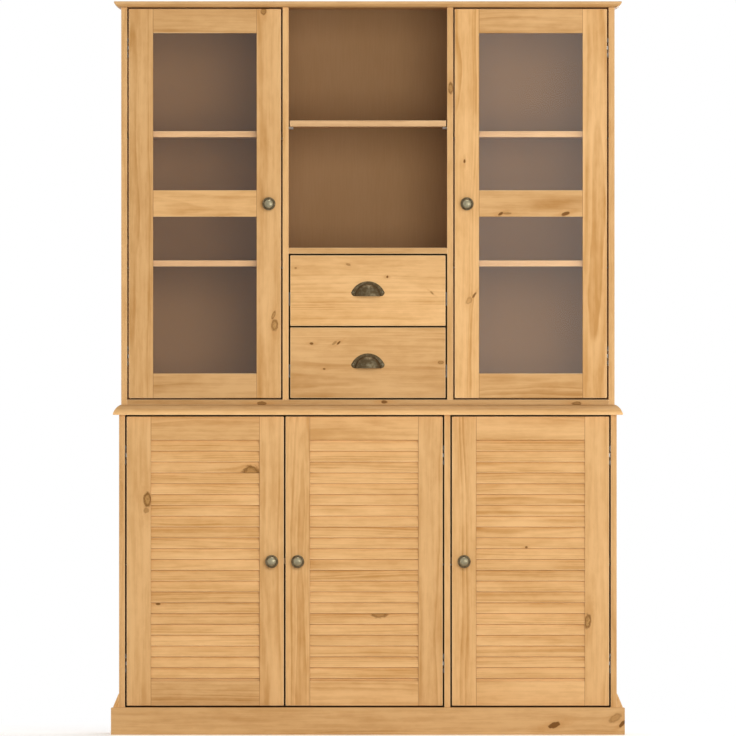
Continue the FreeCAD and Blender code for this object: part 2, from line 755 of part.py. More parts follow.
def make_knob(door, tier, side):
    """A domed knob on the stile away from the hinges, with the screw that holds it."""
    in_from_edge = "stile_width / 2"
    if side == "left":
        in_from_edge = f"{tier}_door_width - stile_width / 2"
    centre = f"{door}_x + {in_from_edge}"
    front = f"{tier}_door_front"
    level = f"{tier}_door_z + {tier}_door_height / 2 - knob_drop"
    turned = turning(f"{door}_knob_turned", [
        ("0", "0"),
        ("knob_foot_radius", "0"),
        ("knob_foot_radius", "-knob_foot_thick"),
        ("knob_neck_radius", "-knob_foot_thick - knob_neck_length / 2", "bend"),
        ("knob_foot_radius", "-knob_foot_thick - knob_neck_length"),
        ("knob_radius", "-knob_head_start"),
        ("knob_radius", "-knob_rim_end"),
        ("knob_radius - bend_near_share * (knob_radius - knob_dome_radius)",
         "-knob_rim_end - bend_far_share * knob_shoulder_length", "bend"),
        ("knob_dome_radius", "-knob_shoulder_end"),
        ("knob_dome_radius / 2", "-knob_shoulder_end - dome_share * knob_dome_rise", "bend"),
        ("0", "-knob_length"),
    ])
    place(turned, (centre, front, level))
    shank = rod(f"{door}_knob_shank", "y", (centre, f"{front} - knob_screw_bite", level),
                "knob_screw_radius", "knob_screw_bite + door_thick")
    head = rod(f"{door}_knob_screw_head", "y", (centre, f"{front} + door_thick", level),
               "knob_screw_head_radius", "knob_screw_head_thick")
    screw = fuse(f"{door}_knob_screw", [shank, head])
    keep(f"{door}_knob", group(f"{door}_knob", [cut(f"{door}_knob_bored", turned, [screw]), screw]))
    return screw


# Door frames

def door_rail(name, door, tier, z, height):
    """A rail between the stiles, with a stub tenon at each end."""
    x = f"{door}_x + stile_width"
    y = f"{tier}_door_front"
    width = f"{tier}_door_width - 2 * stile_width"
    rail = box(f"{name}_body", (x, y, z), (width, "door_thick", height))
    tenon = box(f"{name}_tenon",
                (f"{x} - tenon_length", f"{y} + (door_thick - tenon_thick) / 2", f"{z} + tenon_shoulder"),
                (f"{width} + 2 * tenon_length", "tenon_thick", f"{height} - 2 * tenon_shoulder"))
    return fuse(name, [rail, tenon])


def door_stiles(door, tier, side, tools, plugs, screw):
    """Two full-height stiles, cut for the rails and what they hold, bored for hinges and knob."""
    stiles = []
    for place_name, shift in (("left", "0"), ("right", f"{tier}_door_width - stile_width")):
        name = f"{door}_{place_name}_stile"
        blank = box(f"{name}_blank", (f"{door}_x + {shift}", f"{tier}_door_front", f"{tier}_door_z"),
                    ("stile_width", "door_thick", f"{tier}_door_height"))
        holes = plugs if place_name == side else [screw]
        stiles.append(cut(name, blank, tools + holes))
    keep(f"{door}_stiles", group(f"{door}_stiles", stiles))


def pane_parts(name, door, z, height):
    """A pane with its four beads, and the seat that the frame is cut with to hold them."""
    seat_x = f"{door}_x + stile_width - glass_rebate"
    seat_y = "upper_door_front + glass_lip"
    seat_z = f"{z} - glass_rebate"
    seat_width = "(pane_width + 2 * glass_rebate)"
    seat_height = f"({height} + 2 * glass_rebate)"
    seat = box(f"{name}_seat", (seat_x, seat_y, seat_z), (seat_width, "door_thick - glass_lip", seat_height))
    glass = box(f"{name}_glass", (f"{seat_x} + glass_play", seat_y, f"{seat_z} + glass_play"),
                (f"{seat_width} - 2 * glass_play", "glass_thick", f"{seat_height} - 2 * glass_play"))
    bead_y = f"{seat_y} + glass_thick"
    bead_depth = "door_thick - glass_lip - glass_thick"
    beads = []
    for place_name, low in (("bottom", seat_z), ("top", f"{seat_z} + {seat_height} - glass_rebate")):
        beads.append(box(f"{name}_{place_name}_bead", (seat_x, bead_y, low),
                         (seat_width, bead_depth, "glass_rebate")))
    for place_name, low in (("left", seat_x), ("right", f"{seat_x} + {seat_width} - glass_rebate")):
        beads.append(box(f"{name}_{place_name}_bead", (low, bead_y, z),
                         ("glass_rebate", bead_depth, height)))
    return glass, beads, seat


def glazed_door(door, side, board):
    """A door of two panes over one another in a frame with three rails."""
    plugs = hang_door(door, "upper", side, board)
    screw = make_knob(door, "upper", side)
    panes = []
    beads = []
    seats = []
    for level in ("lower", "upper"):
        glass, glass_beads, seat = pane_parts(f"{door}_{level}_pane", door,
                                              f"{level}_pane_z", f"{level}_pane_height")
        panes.append(glass)
        beads += glass_beads
        seats.append(seat)
    blanks = [
        door_rail(f"{door}_bottom_rail", door, "upper", "upper_door_z", "glazed_bottom_rail_width"),
        door_rail(f"{door}_middle_rail", door, "upper", "middle_rail_z", "middle_rail_width"),
        door_rail(f"{door}_top_rail", door, "upper", "upper_pane_z + upper_pane_height", "top_rail_width"),
    ]
    rails = [cut(f"{blank.Name}_rebated", blank, seats) for blank in blanks]
    keep(f"{door}_rails", group(f"{door}_rails", rails))
    keep(f"{door}_panes", group(f"{door}_panes", panes))
    keep(f"{door}_beads", group(f"{door}_beads", beads))
    door_stiles(door, "upper", side, rails + seats, plugs, screw)


def louvre_slats(door):
    """The row of slats, each turned so that its lower edge covers the top of the next."""
    corners = [
        ("slat_set_back", "2 * slat_stand_thick"),
        ("slat_set_back + 2 * slat_lean_thick", "0"),
        ("slat_set_back + 2 * slat_lean_thick + 2 * slat_lean", "2 * slat_stand"),
        ("slat_set_back + 2 * slat_lean", "2 * slat_stand + 2 * slat_stand_thick"),
    ]
    row = extrusion(f"{door}_slat_row", "YZ_Plane", corners, "louvre_width + 2 * slat_housing")
    repeat = row.newObject("PartDesign::LinearPattern", f"{door}_slat_repeat")
    repeat.Originals = [found for found in row.Group if found.TypeId == "PartDesign::Pad"]
    repeat.Direction = (origin_feature(row, "Z_Axis"), [""])
    repeat.Mode = "Spacing"
    repeat.setExpression("Offset", bound("slat_pitch"))
    repeat.setExpression("Occurrences", bound("slat_count"))
    row.Tip = repeat
    return place(row, (f"{door}_x + stile_width - slat_housing", "lower_door_front", "louvre_z + slat_rise"))


def louvred_door(door, side, board):
    """A door of slats housed in its stiles, the lowest against a lip at the rear of the bottom rail."""
    plugs = hang_door(door, "lower", side, board)
    screw = make_knob(door, "lower", side)
    slats = keep(f"{door}_slats", louvre_slats(door))
    foot = door_rail(f"{door}_bottom_rail", door, "lower", "lower_door_z", "louvre_bottom_rail_width")
    seat = box(f"{door}_slat_seat",
               (f"{door}_x + stile_width", "lower_door_front + slat_seat_set_back", "louvre_z"),
               ("louvre_width", "door_thick - slat_seat_set_back", "slat_rise + slat_seat_grip"))
    blanks = [
        fuse(f"{door}_bottom_rail_seated", [foot, seat]),
        door_rail(f"{door}_top_rail", door, "lower", "louvre_z + louvre_height", "louvre_top_rail_width"),
    ]
    rails = [cut(f"{blank.Name}_housed", blank, [slats]) for blank in blanks]
    keep(f"{door}_rails", group(f"{door}_rails", rails))
    door_stiles(door, "lower", side, rails + [slats], plugs, screw)


# Drawers

def slide_member(name, side, y, centre, start, height, depth, hollow_start):
    """A channel along Y, opening away from the wall that its web stands nearest to."""
    wall = "-open_bay_half" if side == "left" else "open_bay_half"
    block = box(f"{name}_block", (from_edge(wall, side, start, depth), y, f"{centre} - ({height}) / 2"),
                (depth, "slide_length", height))
    hollow = box(f"{name}_hollow",
                 (from_edge(wall, side, hollow_start, depth), y, f"{centre} - ({height}) / 2 + slide_wall"),
                 (depth, "slide_length", f"{height} - 2 * slide_wall"))
    return cut(name, block, [hollow])


def drawer_slides(drawer):
    """Three nested members on each side; returns the channels that stay on the dividers."""
    centre = f"({drawer}_z + drawer_height / 2 - slide_drop)"
    channels = []
    carriers = []
    rails = []
    for side in ("left", "right"):
        name = f"{drawer}_{side}"
        channels.append(slide_member(f"{name}_channel", side, "slide_y", centre, "0", "slide_height",
                                     "slide_channel_depth", "slide_wall"))
        carriers.append(slide_member(f"{name}_carrier", side, "slide_y", centre, "carrier_start",
                                     "carrier_height", "carrier_depth", "carrier_start + slide_wall"))
        rails.append(slide_member(f"{name}_rail", side, "slide_y", centre, "rail_start",
                                  "rail_height", "rail_depth", "rail_start - slide_wall"))
    keep(f"{drawer}_slide_carriers", group(f"{drawer}_slide_carriers", carriers))
    keep(f"{drawer}_slide_rails", group(f"{drawer}_slide_rails", rails))
    return channels


def cup_pull(drawer):
    """A hollow cup on a D-shaped flange, with its two screws; returns the screws."""
    origin = ("0", "hutch_front", f"{drawer}_z + drawer_height / 2 - pull_drop")
    side = "pull_width / 2"
    corner_out = f"{side} - bend_near_share * pull_corner"
    corner_up = "bend_near_share * pull_corner"
    flange = extrusion(f"{drawer}_pull_flange", "XZ_Plane", [
        (f"{side} - pull_corner", "0"),
        (corner_out, corner_up, "bend"),
        (side, "pull_corner"),
        ("0", "pull_height", "bend"),
        (f"-{side}", "pull_corner"),
        (f"-({corner_out})", corner_up, "bend"),
        (f"pull_corner - {side}", "0"),
    ], "pull_flange_thick")
    place(flange, origin)
    shells = []
    for shell, inset in (("outside", "0"), ("inside", "pull_wall")):
        shells.append(quarter_dome(f"{drawer}_pull_{shell}", origin, inset))
    screws = []
    for place_name, x in (("left", "-pull_screw_spacing / 2"), ("right", "pull_screw_spacing / 2")):
        z = f"{origin[2]} + pull_screw_rise"
        shank = rod(f"{drawer}_pull_{place_name}_shank", "y", (x, "hutch_front - pull_flange_thick", z),
                    "pull_screw_radius", "pull_flange_thick + pull_screw_length")
        head = rod(f"{drawer}_pull_{place_name}_head", "y",
                   (x, "hutch_front - pull_flange_thick - pull_screw_head_thick", z),
                   "pull_screw_head_radius", "pull_screw_head_thick")
        screws.append(fuse(f"{drawer}_pull_{place_name}_screw", [shank, head]))
    blank = fuse(f"{drawer}_pull_blank", [flange, shells[0]])
    pull = cut(f"{drawer}_pull_hollowed", blank, [shells[1]] + screws)
    keep(f"{drawer}_pull", group(f"{drawer}_pull", [pull] + screws))
    return screws


def quarter_dome(name, origin, inset):
    """The upper front quarter of an ellipsoid, which a wall's thickness makes smaller."""
    dome = doc.addObject("Part::Ellipsoid", name)
    dome.Placement = FreeCAD.Placement(FreeCAD.Vector(), FreeCAD.Rotation(FreeCAD.Vector(0, 0, 1), 180))
    dome.setExpression("Radius1", bound(f"pull_cup_height - {inset}"))
    dome.setExpression("Radius2", bound(f"pull_cup_half_width - {inset}"))
    dome.setExpression("Radius3", bound(f"pull_cup_reach - {inset}"))
    dome.Angle1 = 0
    dome.Angle2 = 90
    dome.Angle3 = 180
    return place(dome, origin)


def make_drawer(drawer):
    """A drawer with a pine front, a box behind it and a bottom let into grooves."""
    box_z = f"({drawer}_z + drawer_box_rise)"
    screws = cup_pull(drawer)
    bottom = box(f"{drawer}_bottom",
                 ("-drawer_inner_half - drawer_groove_depth", "drawer_rear - drawer_groove_depth",
                  f"{box_z} + drawer_bottom_rise"),
                 ("2 * (drawer_inner_half + drawer_groove_depth)",
                  "drawer_box_length - drawer_side_thick + 2 * drawer_groove_depth", "drawer_bottom_thick"))
    keep(f"{drawer}_bottom", bottom)
    front = box(f"{drawer}_front_blank", ("-drawer_width / 2", "hutch_front", f"{drawer}_z"),
                ("drawer_width", "door_thick", "drawer_height"))
    keep(f"{drawer}_front", cut(f"{drawer}_front", front, [bottom] + screws))
    sides = []
    for place_name, x in (("left", "-drawer_box_half"), ("right", "drawer_inner_half")):
        blank = box(f"{drawer}_{place_name}_side_blank", (x, "drawer_rear", box_z),
                    ("drawer_side_thick", "drawer_box_length", "drawer_box_height"))
        sides.append(cut(f"{drawer}_{place_name}_side", blank, [bottom]))
    back = box(f"{drawer}_back_blank",
               ("-drawer_inner_half", "drawer_rear + drawer_box_length - drawer_side_thick", box_z),
               ("2 * drawer_inner_half", "drawer_side_thick", "drawer_box_height"))
    sides.append(cut(f"{drawer}_back", back, [bottom]))
    keep(f"{drawer}_box", group(f"{drawer}_box", sides))
    return drawer_slides(drawer)


def make_drawers():
    channels = make_drawer("upper_drawer") + make_drawer("lower_drawer")
    keep("drawer_slide_channels", group("drawer_slide_channels", channels))


def make_doors():
    glazed_door("upper_left_door", "left", "hutch_side_left")
    glazed_door("upper_right_door", "right", "hutch_side_right")
    louvred_door("lower_left_door", "left", "base_side_left")
    louvred_door("lower_middle_door", "right", "base_divider")
    louvred_door("lower_right_door", "right", "base_side_right")
    keep("hinge_plates", group("hinge_plates", hinge_plates))
    keep("hinge_arms", group("hinge_arms", hinge_arms))


def check_model():
    """Stop if any object failed or any sub-part has no sound shape."""
    failed = [item.Name for item in doc.Objects if {"Invalid", "Error"} & set(item.State)]
    if failed:
        raise RuntimeError("failed objects: " + ", ".join(failed))
    for name, piece in nodes.items():
        if piece.Shape.isNull() or not piece.Shape.isValid() or not piece.Shape.Solids:
            raise RuntimeError(name + " has no sound shape")


def export_parts():
    os.makedirs("parts", exist_ok=True)
    for name, piece in nodes.items():
        piece.Shape.exportStep(f"parts/{name}.step")
    print(len(nodes), "sub-parts,", sum(len(piece.Shape.Solids) for piece in nodes.values()), "solids")


fill_sheet()
make_dowels()
make_loose_shelves()
make_back_panels()
make_doors()
make_drawers()
make_base()
make_worktop()
make_plinth()
make_hutch()
make_cornice()
doc.recompute()
check_model()
export_parts()
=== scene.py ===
"""Pine buffet cabinet: its boards, doors, drawers, glass and metalwork, finished and lit for a picture."""

import json
import math
import random

import bmesh
import bpy
from mathutils import Matrix, Vector
from mathutils.geometry import interpolate_bezier

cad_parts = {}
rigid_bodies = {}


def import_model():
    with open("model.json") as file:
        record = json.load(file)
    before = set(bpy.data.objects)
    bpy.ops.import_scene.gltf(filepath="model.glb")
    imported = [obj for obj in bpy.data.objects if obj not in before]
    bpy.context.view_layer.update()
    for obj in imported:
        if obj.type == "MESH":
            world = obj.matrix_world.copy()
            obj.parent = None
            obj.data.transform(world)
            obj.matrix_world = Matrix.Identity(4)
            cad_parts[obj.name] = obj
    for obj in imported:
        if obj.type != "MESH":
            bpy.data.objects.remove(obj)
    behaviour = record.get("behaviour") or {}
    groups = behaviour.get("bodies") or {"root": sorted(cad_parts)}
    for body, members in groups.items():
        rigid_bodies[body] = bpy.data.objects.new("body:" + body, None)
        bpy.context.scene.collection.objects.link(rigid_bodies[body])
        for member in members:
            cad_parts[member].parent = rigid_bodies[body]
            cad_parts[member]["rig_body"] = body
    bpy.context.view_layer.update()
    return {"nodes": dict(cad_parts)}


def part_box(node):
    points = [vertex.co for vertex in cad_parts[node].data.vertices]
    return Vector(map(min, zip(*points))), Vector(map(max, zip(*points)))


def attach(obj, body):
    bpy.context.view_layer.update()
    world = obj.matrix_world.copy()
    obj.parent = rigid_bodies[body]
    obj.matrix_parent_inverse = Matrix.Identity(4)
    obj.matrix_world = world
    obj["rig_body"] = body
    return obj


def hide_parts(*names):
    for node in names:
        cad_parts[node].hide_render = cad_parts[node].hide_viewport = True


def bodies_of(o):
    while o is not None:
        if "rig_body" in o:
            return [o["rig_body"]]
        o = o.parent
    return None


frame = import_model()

bl_info = {
    "name": "Pine Buffet Cabinet",
    "version": (1, 0, 0),
    "blender": (4, 5, 0),
    "location": "3D View > Sidebar > Cabinet",
    "description": "Makes and finishes the pieces of a pine buffet cabinet",
    "category": "Object",
}

NODES = frame["nodes"]
DOORS = ("upper_left_door", "upper_right_door", "lower_left_door", "lower_middle_door", "lower_right_door")
GLAZED_DOORS = DOORS[:2]
LOUVRED_DOORS = DOORS[2:]
DRAWERS = ("upper_drawer", "lower_drawer")

# Knots. Each has a place in millimetres, along X (along Y on a side panel) and in height (along Y on the
# cornice), and a half-width in millimetres; then how dark it is, how many times longer than wide, how far
# filled, and how far it leans
KNOTS = {
    "upper_left_door_stiles": [
        (-280.5, 1943, 6.5, 0.9, 1.2, 0.5, 0), (-250.6, 1101, 7.8, 0.8, 1.8, 0.12, 0),
        (-253.5, 1127, 3.8, 0.75, 2.6, 0.3, 0.3)],
    "hutch_dividers": [(222.5, 1737, 5.8, 0.9, 2.4, 0.25, 0)],
    "upper_right_door_stiles": [
        (259.4, 1540.5, 2.4, 1.2, 1.9, 1, 0), (286, 1181, 2.8, 0.9, 2.4, 1, 0.6),
        (272, 1166, 6.5, 0.35, 1.3, 0.2, 0.3)],
    "upper_right_door_rails": [
        (356.8, 1399.5, 3.2, 1.3, 1.8, 1, 0.4), (374, 1400.5, 2.6, 0.6, 4, 0.8, 0),
        (531, 1399.5, 4.2, 1.15, 2.2, 0.9, 0.25)],
    "upper_drawer_front": [
        (-193.8, 1253.6, 2.2, 0.6, 1.2, 1, 0), (-52.5, 1263, 3, 0.55, 1.9, 0.8, -0.2),
        (52.2, 1229.8, 2.8, 1.2, 0.8, 1, 0), (172, 1187, 2.4, 0.65, 1.6, 0.8, -0.8)],
    "lower_drawer_front": [
        (-151.5, 1050.5, 2.8, 1, 1.5, 1, 0), (-78.5, 1052.5, 3, 1.1, 1.4, 1, 0.7),
        (-90, 1052, 3.4, 0.55, 1.6, 0.8, 0.6), (-117.4, 982.6, 2.2, 0.9, 1.5, 1, 0),
        (196, 1000, 4.2, 0.75, 1.7, 0.6, 0)],
    "hutch_floor": [
        (-286.5, 889.8, 4.4, 1.1, 2.6, 0.8, 0), (44, 893.8, 3.6, 1.25, 2, 1, 0),
        (561, 889.8, 4.4, 1, 2.6, 0.7, 0)],
    "lower_left_door_stiles": [
        (-592.5, 631, 9.6, 1, 1.75, 0.2, 0), (-595.5, 602.5, 6, 0.5, 1.1, 0.8, 0)],
    "lower_left_door_slats": [
        (-314, 704.5, 15.5, 0.95, 1.3, 0.3, 0), (-563.9, 350.8, 2.6, 0.95, 2, 1, 0)],
    "lower_middle_door_slats": [(31.2, 324.5, 9.5, 0.75, 2, 0.4, 0)],
    "lower_right_door_slats": [(425.6, 503.5, 2.6, 0.95, 1.2, 1, 0)],
    "lower_right_door_stiles": [(590.5, 304.5, 8.2, 0.9, 2.1, 0.15, 0.06)],
    "plinth_front": [
        (500.2, 26, 6.6, 1.25, 1.9, 1, 0.25), (683, 29.5, 5.5, 1.15, 1.3, 1, 0.8),
        (664, 45, 9, 0.5, 1.6, 0.5, 0.4)],
    "hutch_side_left": [
        (-52, 1716, 8.5, 0.9, 1.7, 0.25, 0), (96, 1302, 5, 1.1, 1.4, 1, 0.1),
        (20, 1048, 11, 0.8, 1.5, 0.2, 0)],
    "hutch_side_right": [
        (74, 1804, 6, 1.1, 1.5, 0.9, 0), (-70, 1492, 10.5, 0.85, 1.6, 0.2, 0.05),
        (118, 1160, 8, 0.9, 1.4, 0.3, 0)],
    "base_side_left": [(58, 640, 9.5, 0.85, 1.6, 0.25, 0), (-84, 236, 6, 1, 1.5, 0.8, 0)],
    "base_side_right": [(-40, 700, 6.5, 1, 1.4, 0.8, 0), (90, 402, 11, 0.85, 1.5, 0.2, 0)],
    "cornice": [
        (-402, 62, 9, 0.85, 1.5, 0.25, 0), (118, 20, 6, 1, 1.6, 0.9, 0),
        (486, 108, 10, 0.8, 1.4, 0.2, 0)],
}

# Boards that show a narrow edge in front, so that their knots lie in it, and boards whose grain runs up
EDGE_BOARDS = ("hutch_dividers", "hutch_floor")
UPRIGHT_WORDS = ("stiles", "dividers", "_side_")

# Lightness of boards that show, from left to right and then from the lowest up; then of the others, with how
# much it differs from board to board and from slat to slat
TONES = {
    "upper_left_door_stiles": [0.34, 0.42],
    "upper_left_door_rails": [0, 0.50, 0.20],
    "upper_right_door_stiles": [0.67, 0.62],
    "upper_right_door_rails": [0.32, 0.34, 0.30],
    "upper_drawer_front": [0.60],
    "lower_drawer_front": [0.28],
    "hutch_dividers": [0.52, 0.38],
    "lower_left_door_stiles": [0.43, 0.46],
    "lower_left_door_rails": [0.30, 0.38],
    "lower_middle_door_stiles": [0.50, 0.40],
    "lower_middle_door_rails": [0.50, 0.50],
    "lower_right_door_stiles": [0.52, 0.50],
    "lower_right_door_rails": [0.54, 0.50],
    "lower_left_door_slats": [0.60],
    "lower_middle_door_slats": [0.58],
    "lower_right_door_slats": [0.56],
    "plinth_front": [0.22],
    "cornice": [0.22],
    "drawer_shelf": [0],
    "worktop": [0.45],
    "hutch_side_left": [0.38],
    "hutch_side_right": [0.42],
    "base_side_left": [0.38],
    "base_side_right": [0.42],
    "hutch_floor": [-0.15],
    "loose_shelves": [0.50],
}
PLAIN_TONE, TONE_RANGE, SLAT_TONE_RANGE = 0.40, 0.18, 0.05

# How much lighter some boards are at top than at foot: painted shade on the worktop's slope and cornice's
# belly
# On the drawer fronts it is only a gradient from foot to top
TONE_AND_SHADE_LEANS = {"worktop": -1.3, "cornice": 0.24, "upper_drawer_front": -0.24, "lower_drawer_front": 0.24}

# How far apart the patterns of two slats in a row lie, and how far a rail's tenon goes into its stile
SLAT_STEP = 0.1
RAIL_TENON = 0.014

# The seam at a joint: half its width, and how near to the joint an edge counts as lying in it
SEAM = 0.0012
AT_JOINT = 0.0003

# How far the edges of small pieces are rounded
SLAT_EASE = 0.0012
INNER_EASE = 0.0008
PANE_EASE = 0.0004
FITTING_EASES = {
    "hinge_arms": 0.0008, "drawer_slide_channels": 0.0004, "shelf_pins": 0.0006,
    **{f"{drawer}_slide_{part}": 0.0003 for drawer in DRAWERS for part in ("carriers", "rails")},
}

# Bends, in degrees: the least one that is rounded, and the greatest that still counts as flat
ROUNDED_BEND = 38
FLAT_BEND = 0.6

# How near two points have to be to count as one: corners of a solid, points of a turned shape, and points on
# either side of a cut
SAME_CORNER = 0.00001
SAME_POINT = 0.000001
SAME_CUT = 0.0000001

# How far metal is rubbed pale: a knob's dome, groove and rim, a screw, a pull, its crown (also a painted
# highlight) and its belly
DOME_RUB, GROOVE_RUB, RIM_RUB = 0.92, 0.04, 0.26
SCREW_RUB, PULL_RUB, CROWN_RUB_AND_HIGHLIGHT, BELLY_RUB = 0.5, 0.02, 0.30, 0.22

# A screw's slot: half its width as a share of the head's radius, and its depth as a share of the head's rise
SLOT_HALF_WIDTH = 0.13
SLOT_DEPTH = 0.45

# How far right of the cabinet's middle the camera stands
CAMERA_SHIFT = 0.0003


def tint(code):
    """A colour written as six hexadecimal digits, as linear light with full opacity."""
    levels = [int(code[start:start + 2], 16) / 255 for start in (0, 2, 4)]
    return [level / 12.92 if level <= 0.04045 else ((level + 0.055) / 1.055) ** 2.4
            for level in levels] + [1]


# Colours that the sidebar doesn't offer
SHADES = {name: tint(code) for name, code in {
    "washed pine": "ece0d2", "edge highlight": "ffe2b4", "seam": "8a5a2c", "knot halo": "b68040",
    "knot core": "b6884a", "pin knot": "8a572c", "board speck": "7d5834", "glass": "f5f1ec",
    "glass haze": "f8f5f1", "light through glass": "f5f2ef", "tarnish": "5d6048", "dull zinc": "a8a7a4",
    "beech": "dcb98c", "beech fibre": "cba473", "beech fleck": "a97d50", "floor cloud": "efedea",
}.items()}
WHITE = (1, 1, 1, 1)


def length(name, description, default):
    """A user's length in metres."""
    return bpy.props.FloatProperty(name=name, description=description, default=default, min=0, unit="LENGTH",
                                   precision=4)


def colour(name, description, code):
    """A user's colour."""
    return bpy.props.FloatVectorProperty(name=name, description=description, default=tint(code), size=4,
                                         min=0, max=1, subtype="COLOR")


def share(name, description, default, most=1):
    """A user's plain number from zero up."""
    return bpy.props.FloatProperty(name=name, description=description, default=default, min=0, max=most)


class CabinetWood(bpy.types.PropertyGroup):
    """Edges and colours of the pine and of the back panels."""

    door_ease: length("Door easing", "How far the edges of doors and drawer fronts are rounded", 0.0018)
    board_ease: length("Board easing", "How far the edges of the other boards are rounded", 0.001)
    ring_spacing: length("Ring spacing", "Width of one year's growth in the pine", 0.0085)
    early_wood: colour("Early wood", "Pine between the rings", "e0b278")
    late_wood: colour("Late wood", "Pine in the rings", "b98544")
    knot: colour("Knot", "Rim of a knot", "704400")
    back_panel: colour("Back panel", "Brown board at the back", "967653")
    back_fibre: colour("Back panel fibre", "Darker streaks of the brown board", "8d6d49")


class CabinetMetal(bpy.types.PropertyGroup):
    """Shapes and colours of knobs, pulls and fittings."""

    knob_radius: length("Knob radius", "Radius of a knob at its rim", 0.0176)
    dome_radius: length("Dome radius", "Radius of the dome inside a knob's rim", 0.0127)
    wear_and_highlight: colour("Worn metal", "Knobs and pulls where they are rubbed", "9f9579")
    aged: colour("Aged metal", "Knobs and pulls where they stay dark", "503b20")
    zinc: colour("Zinc", "Hinges, slides and pins", "c9c6c0")


class CabinetStage(bpy.types.PropertyGroup):
    """Camera, floor and lamps."""

    lens: bpy.props.FloatProperty(name="Lens", description="Focal length of the camera", default=1092.4,
                                  min=1, unit="CAMERA")
    distance: length("Camera distance", "From the camera to the front of the hutch", 60)
    centre_height: length("Camera height", "Height that the camera is aimed at", 0.985)
    floor: colour("Floor", "Plain floor", "eceae6")
    key: share("Key light", "Power of the large lamp in front, in watts", 168, 5000)
    fill: share("Fill light", "Power of the broad lamp at the right, in watts", 52, 5000)
    side: share("Side light", "Power of the lamp at each side, in watts", 42, 5000)
    top: share("Top light", "Power of the lamp over the cornice, in watts", 24, 5000)
    back: share("Back light", "Power of the lamp behind the cabinet, in watts", 110, 5000)
    gleam: share("Gleam", "Power of the overhead lamp that only metal mirrors, in watts", 24, 5000)
    glint: share("Glint", "Power of the small lamp at the right that only metal mirrors, in watts", 40, 5000)
    ambient: share("Room light", "Strength of the light from all around", 0.33, 10)


# Node trees

def feed(socket, value):
    """Give a socket a value, or a link to another node's socket."""
    if isinstance(value, bpy.types.NodeSocket):
        socket.id_data.links.new(value, socket)
    else:
        socket.default_value = value


def add_node(tree, kind, inputs=None, **settings):
    """A new node with its settings, its values and its links."""
    node = tree.nodes.new("ShaderNode" + kind)
    for name, value in settings.items():
        setattr(node, name, value)
    for name, value in (inputs or {}).items():
        feed(node.inputs[name], value)
    return node


def follow(kind, inputs, **settings):
    """The outputs of a new node, placed in the tree of the sockets that feed it."""
    tree = next(value.id_data for value in inputs.values() if isinstance(value, bpy.types.NodeSocket))
    return add_node(tree, kind, inputs, **settings).outputs


def maths(operation, first, second=0, third=0, clamp=False):
    """The result of one sum."""
    return follow("Math", {0: first, 1: second, 2: third}, operation=operation, use_clamp=clamp)[0]


def times(first, second, plus=None, clamp=False):
    """Two values multiplied, with a third one added where it is given."""
    if plus is None:
        return maths("MULTIPLY", first, second, clamp=clamp)
    return maths("MULTIPLY_ADD", first, second, plus, clamp)


def vector_maths(operation, first, second):
    """The result of one sum of vectors."""
    return follow("VectorMath", {0: first, 1: second}, operation=operation)["Vector"]


def vector_of(x=0, y=0, z=0):
    """Three values as one vector."""
    return follow("CombineXYZ", {"X": x, "Y": y, "Z": z})[0]


def parts_of(vector):
    """The three values of a vector."""
    return follow("SeparateXYZ", {0: vector})


def spread(value, low=0.3, high=0.7, new_low=0, new_high=1):
    """A value carried smoothly from one span to another."""
    spans = {"Value": value, "From Min": low, "From Max": high, "To Min": new_low, "To Max": new_high}
    return follow("MapRange", spans, interpolation_type="SMOOTHSTEP")["Result"]


def noise(place, stretch, detail=2, roughness=0.5):
    """Soft random values, drawn out along some axes."""
    stretched = vector_maths("MULTIPLY", place, stretch)
    values = {"Vector": stretched, "Scale": 1, "Detail": detail, "Roughness": roughness}
    return follow("TexNoise", values)["Fac"]


def blend(factor, first, second, kind="MIX"):
    """Two colours mixed."""
    return follow("Mix", {0: factor, 6: first, 7: second}, data_type="RGBA", blend_type=kind)[2]


def attribute(tree, name):
    """A value stored at the corners of a piece."""
    return add_node(tree, "Attribute", attribute_name=name, attribute_type="GEOMETRY").outputs


def own_place(tree):
    """Where a point lies on its own piece."""
    return add_node(tree, "TexCoord").outputs["Object"]


def raised(height, depth, strength):
    """A normal bent by a height."""
    return follow("Bump", {"Height": height, "Distance": depth, "Strength": strength})[0]


def mix_shaders(factor, first, second):
    """Show one shader over another, by a factor, as the material's surface."""
    mixed = follow("MixShader", {0: factor, 1: first, 2: second})[0]
    feed(mixed.id_data.nodes["Material Output"].inputs["Surface"], mixed)


def looked_at(tree):
    """1 for a ray from the camera, a mirror or glass, and 0 for one that only brings light."""
    path = add_node(tree, "LightPath").outputs
    mirrored = maths("MAXIMUM", path["Is Glossy Ray"], path["Is Transmission Ray"])
    return maths("MAXIMUM", path["Is Camera Ray"], mirrored)


def new_group(name, inputs, outputs):
    """An empty node group; returns the sockets that it is given and those that it has to feed."""
    tree = bpy.data.node_groups.new(name, "ShaderNodeTree")
    for direction, sockets in (("INPUT", inputs), ("OUTPUT", outputs)):
        for label, kind in sockets.items():
            tree.interface.new_socket(label, in_out=direction, socket_type="NodeSocket" + kind)
    return tree.nodes.new("NodeGroupInput").outputs, tree.nodes.new("NodeGroupOutput").inputs


def use_group(name, inputs):
    """The outputs of a shared group placed in a tree."""
    return follow("Group", inputs, node_tree=bpy.data.node_groups[name])


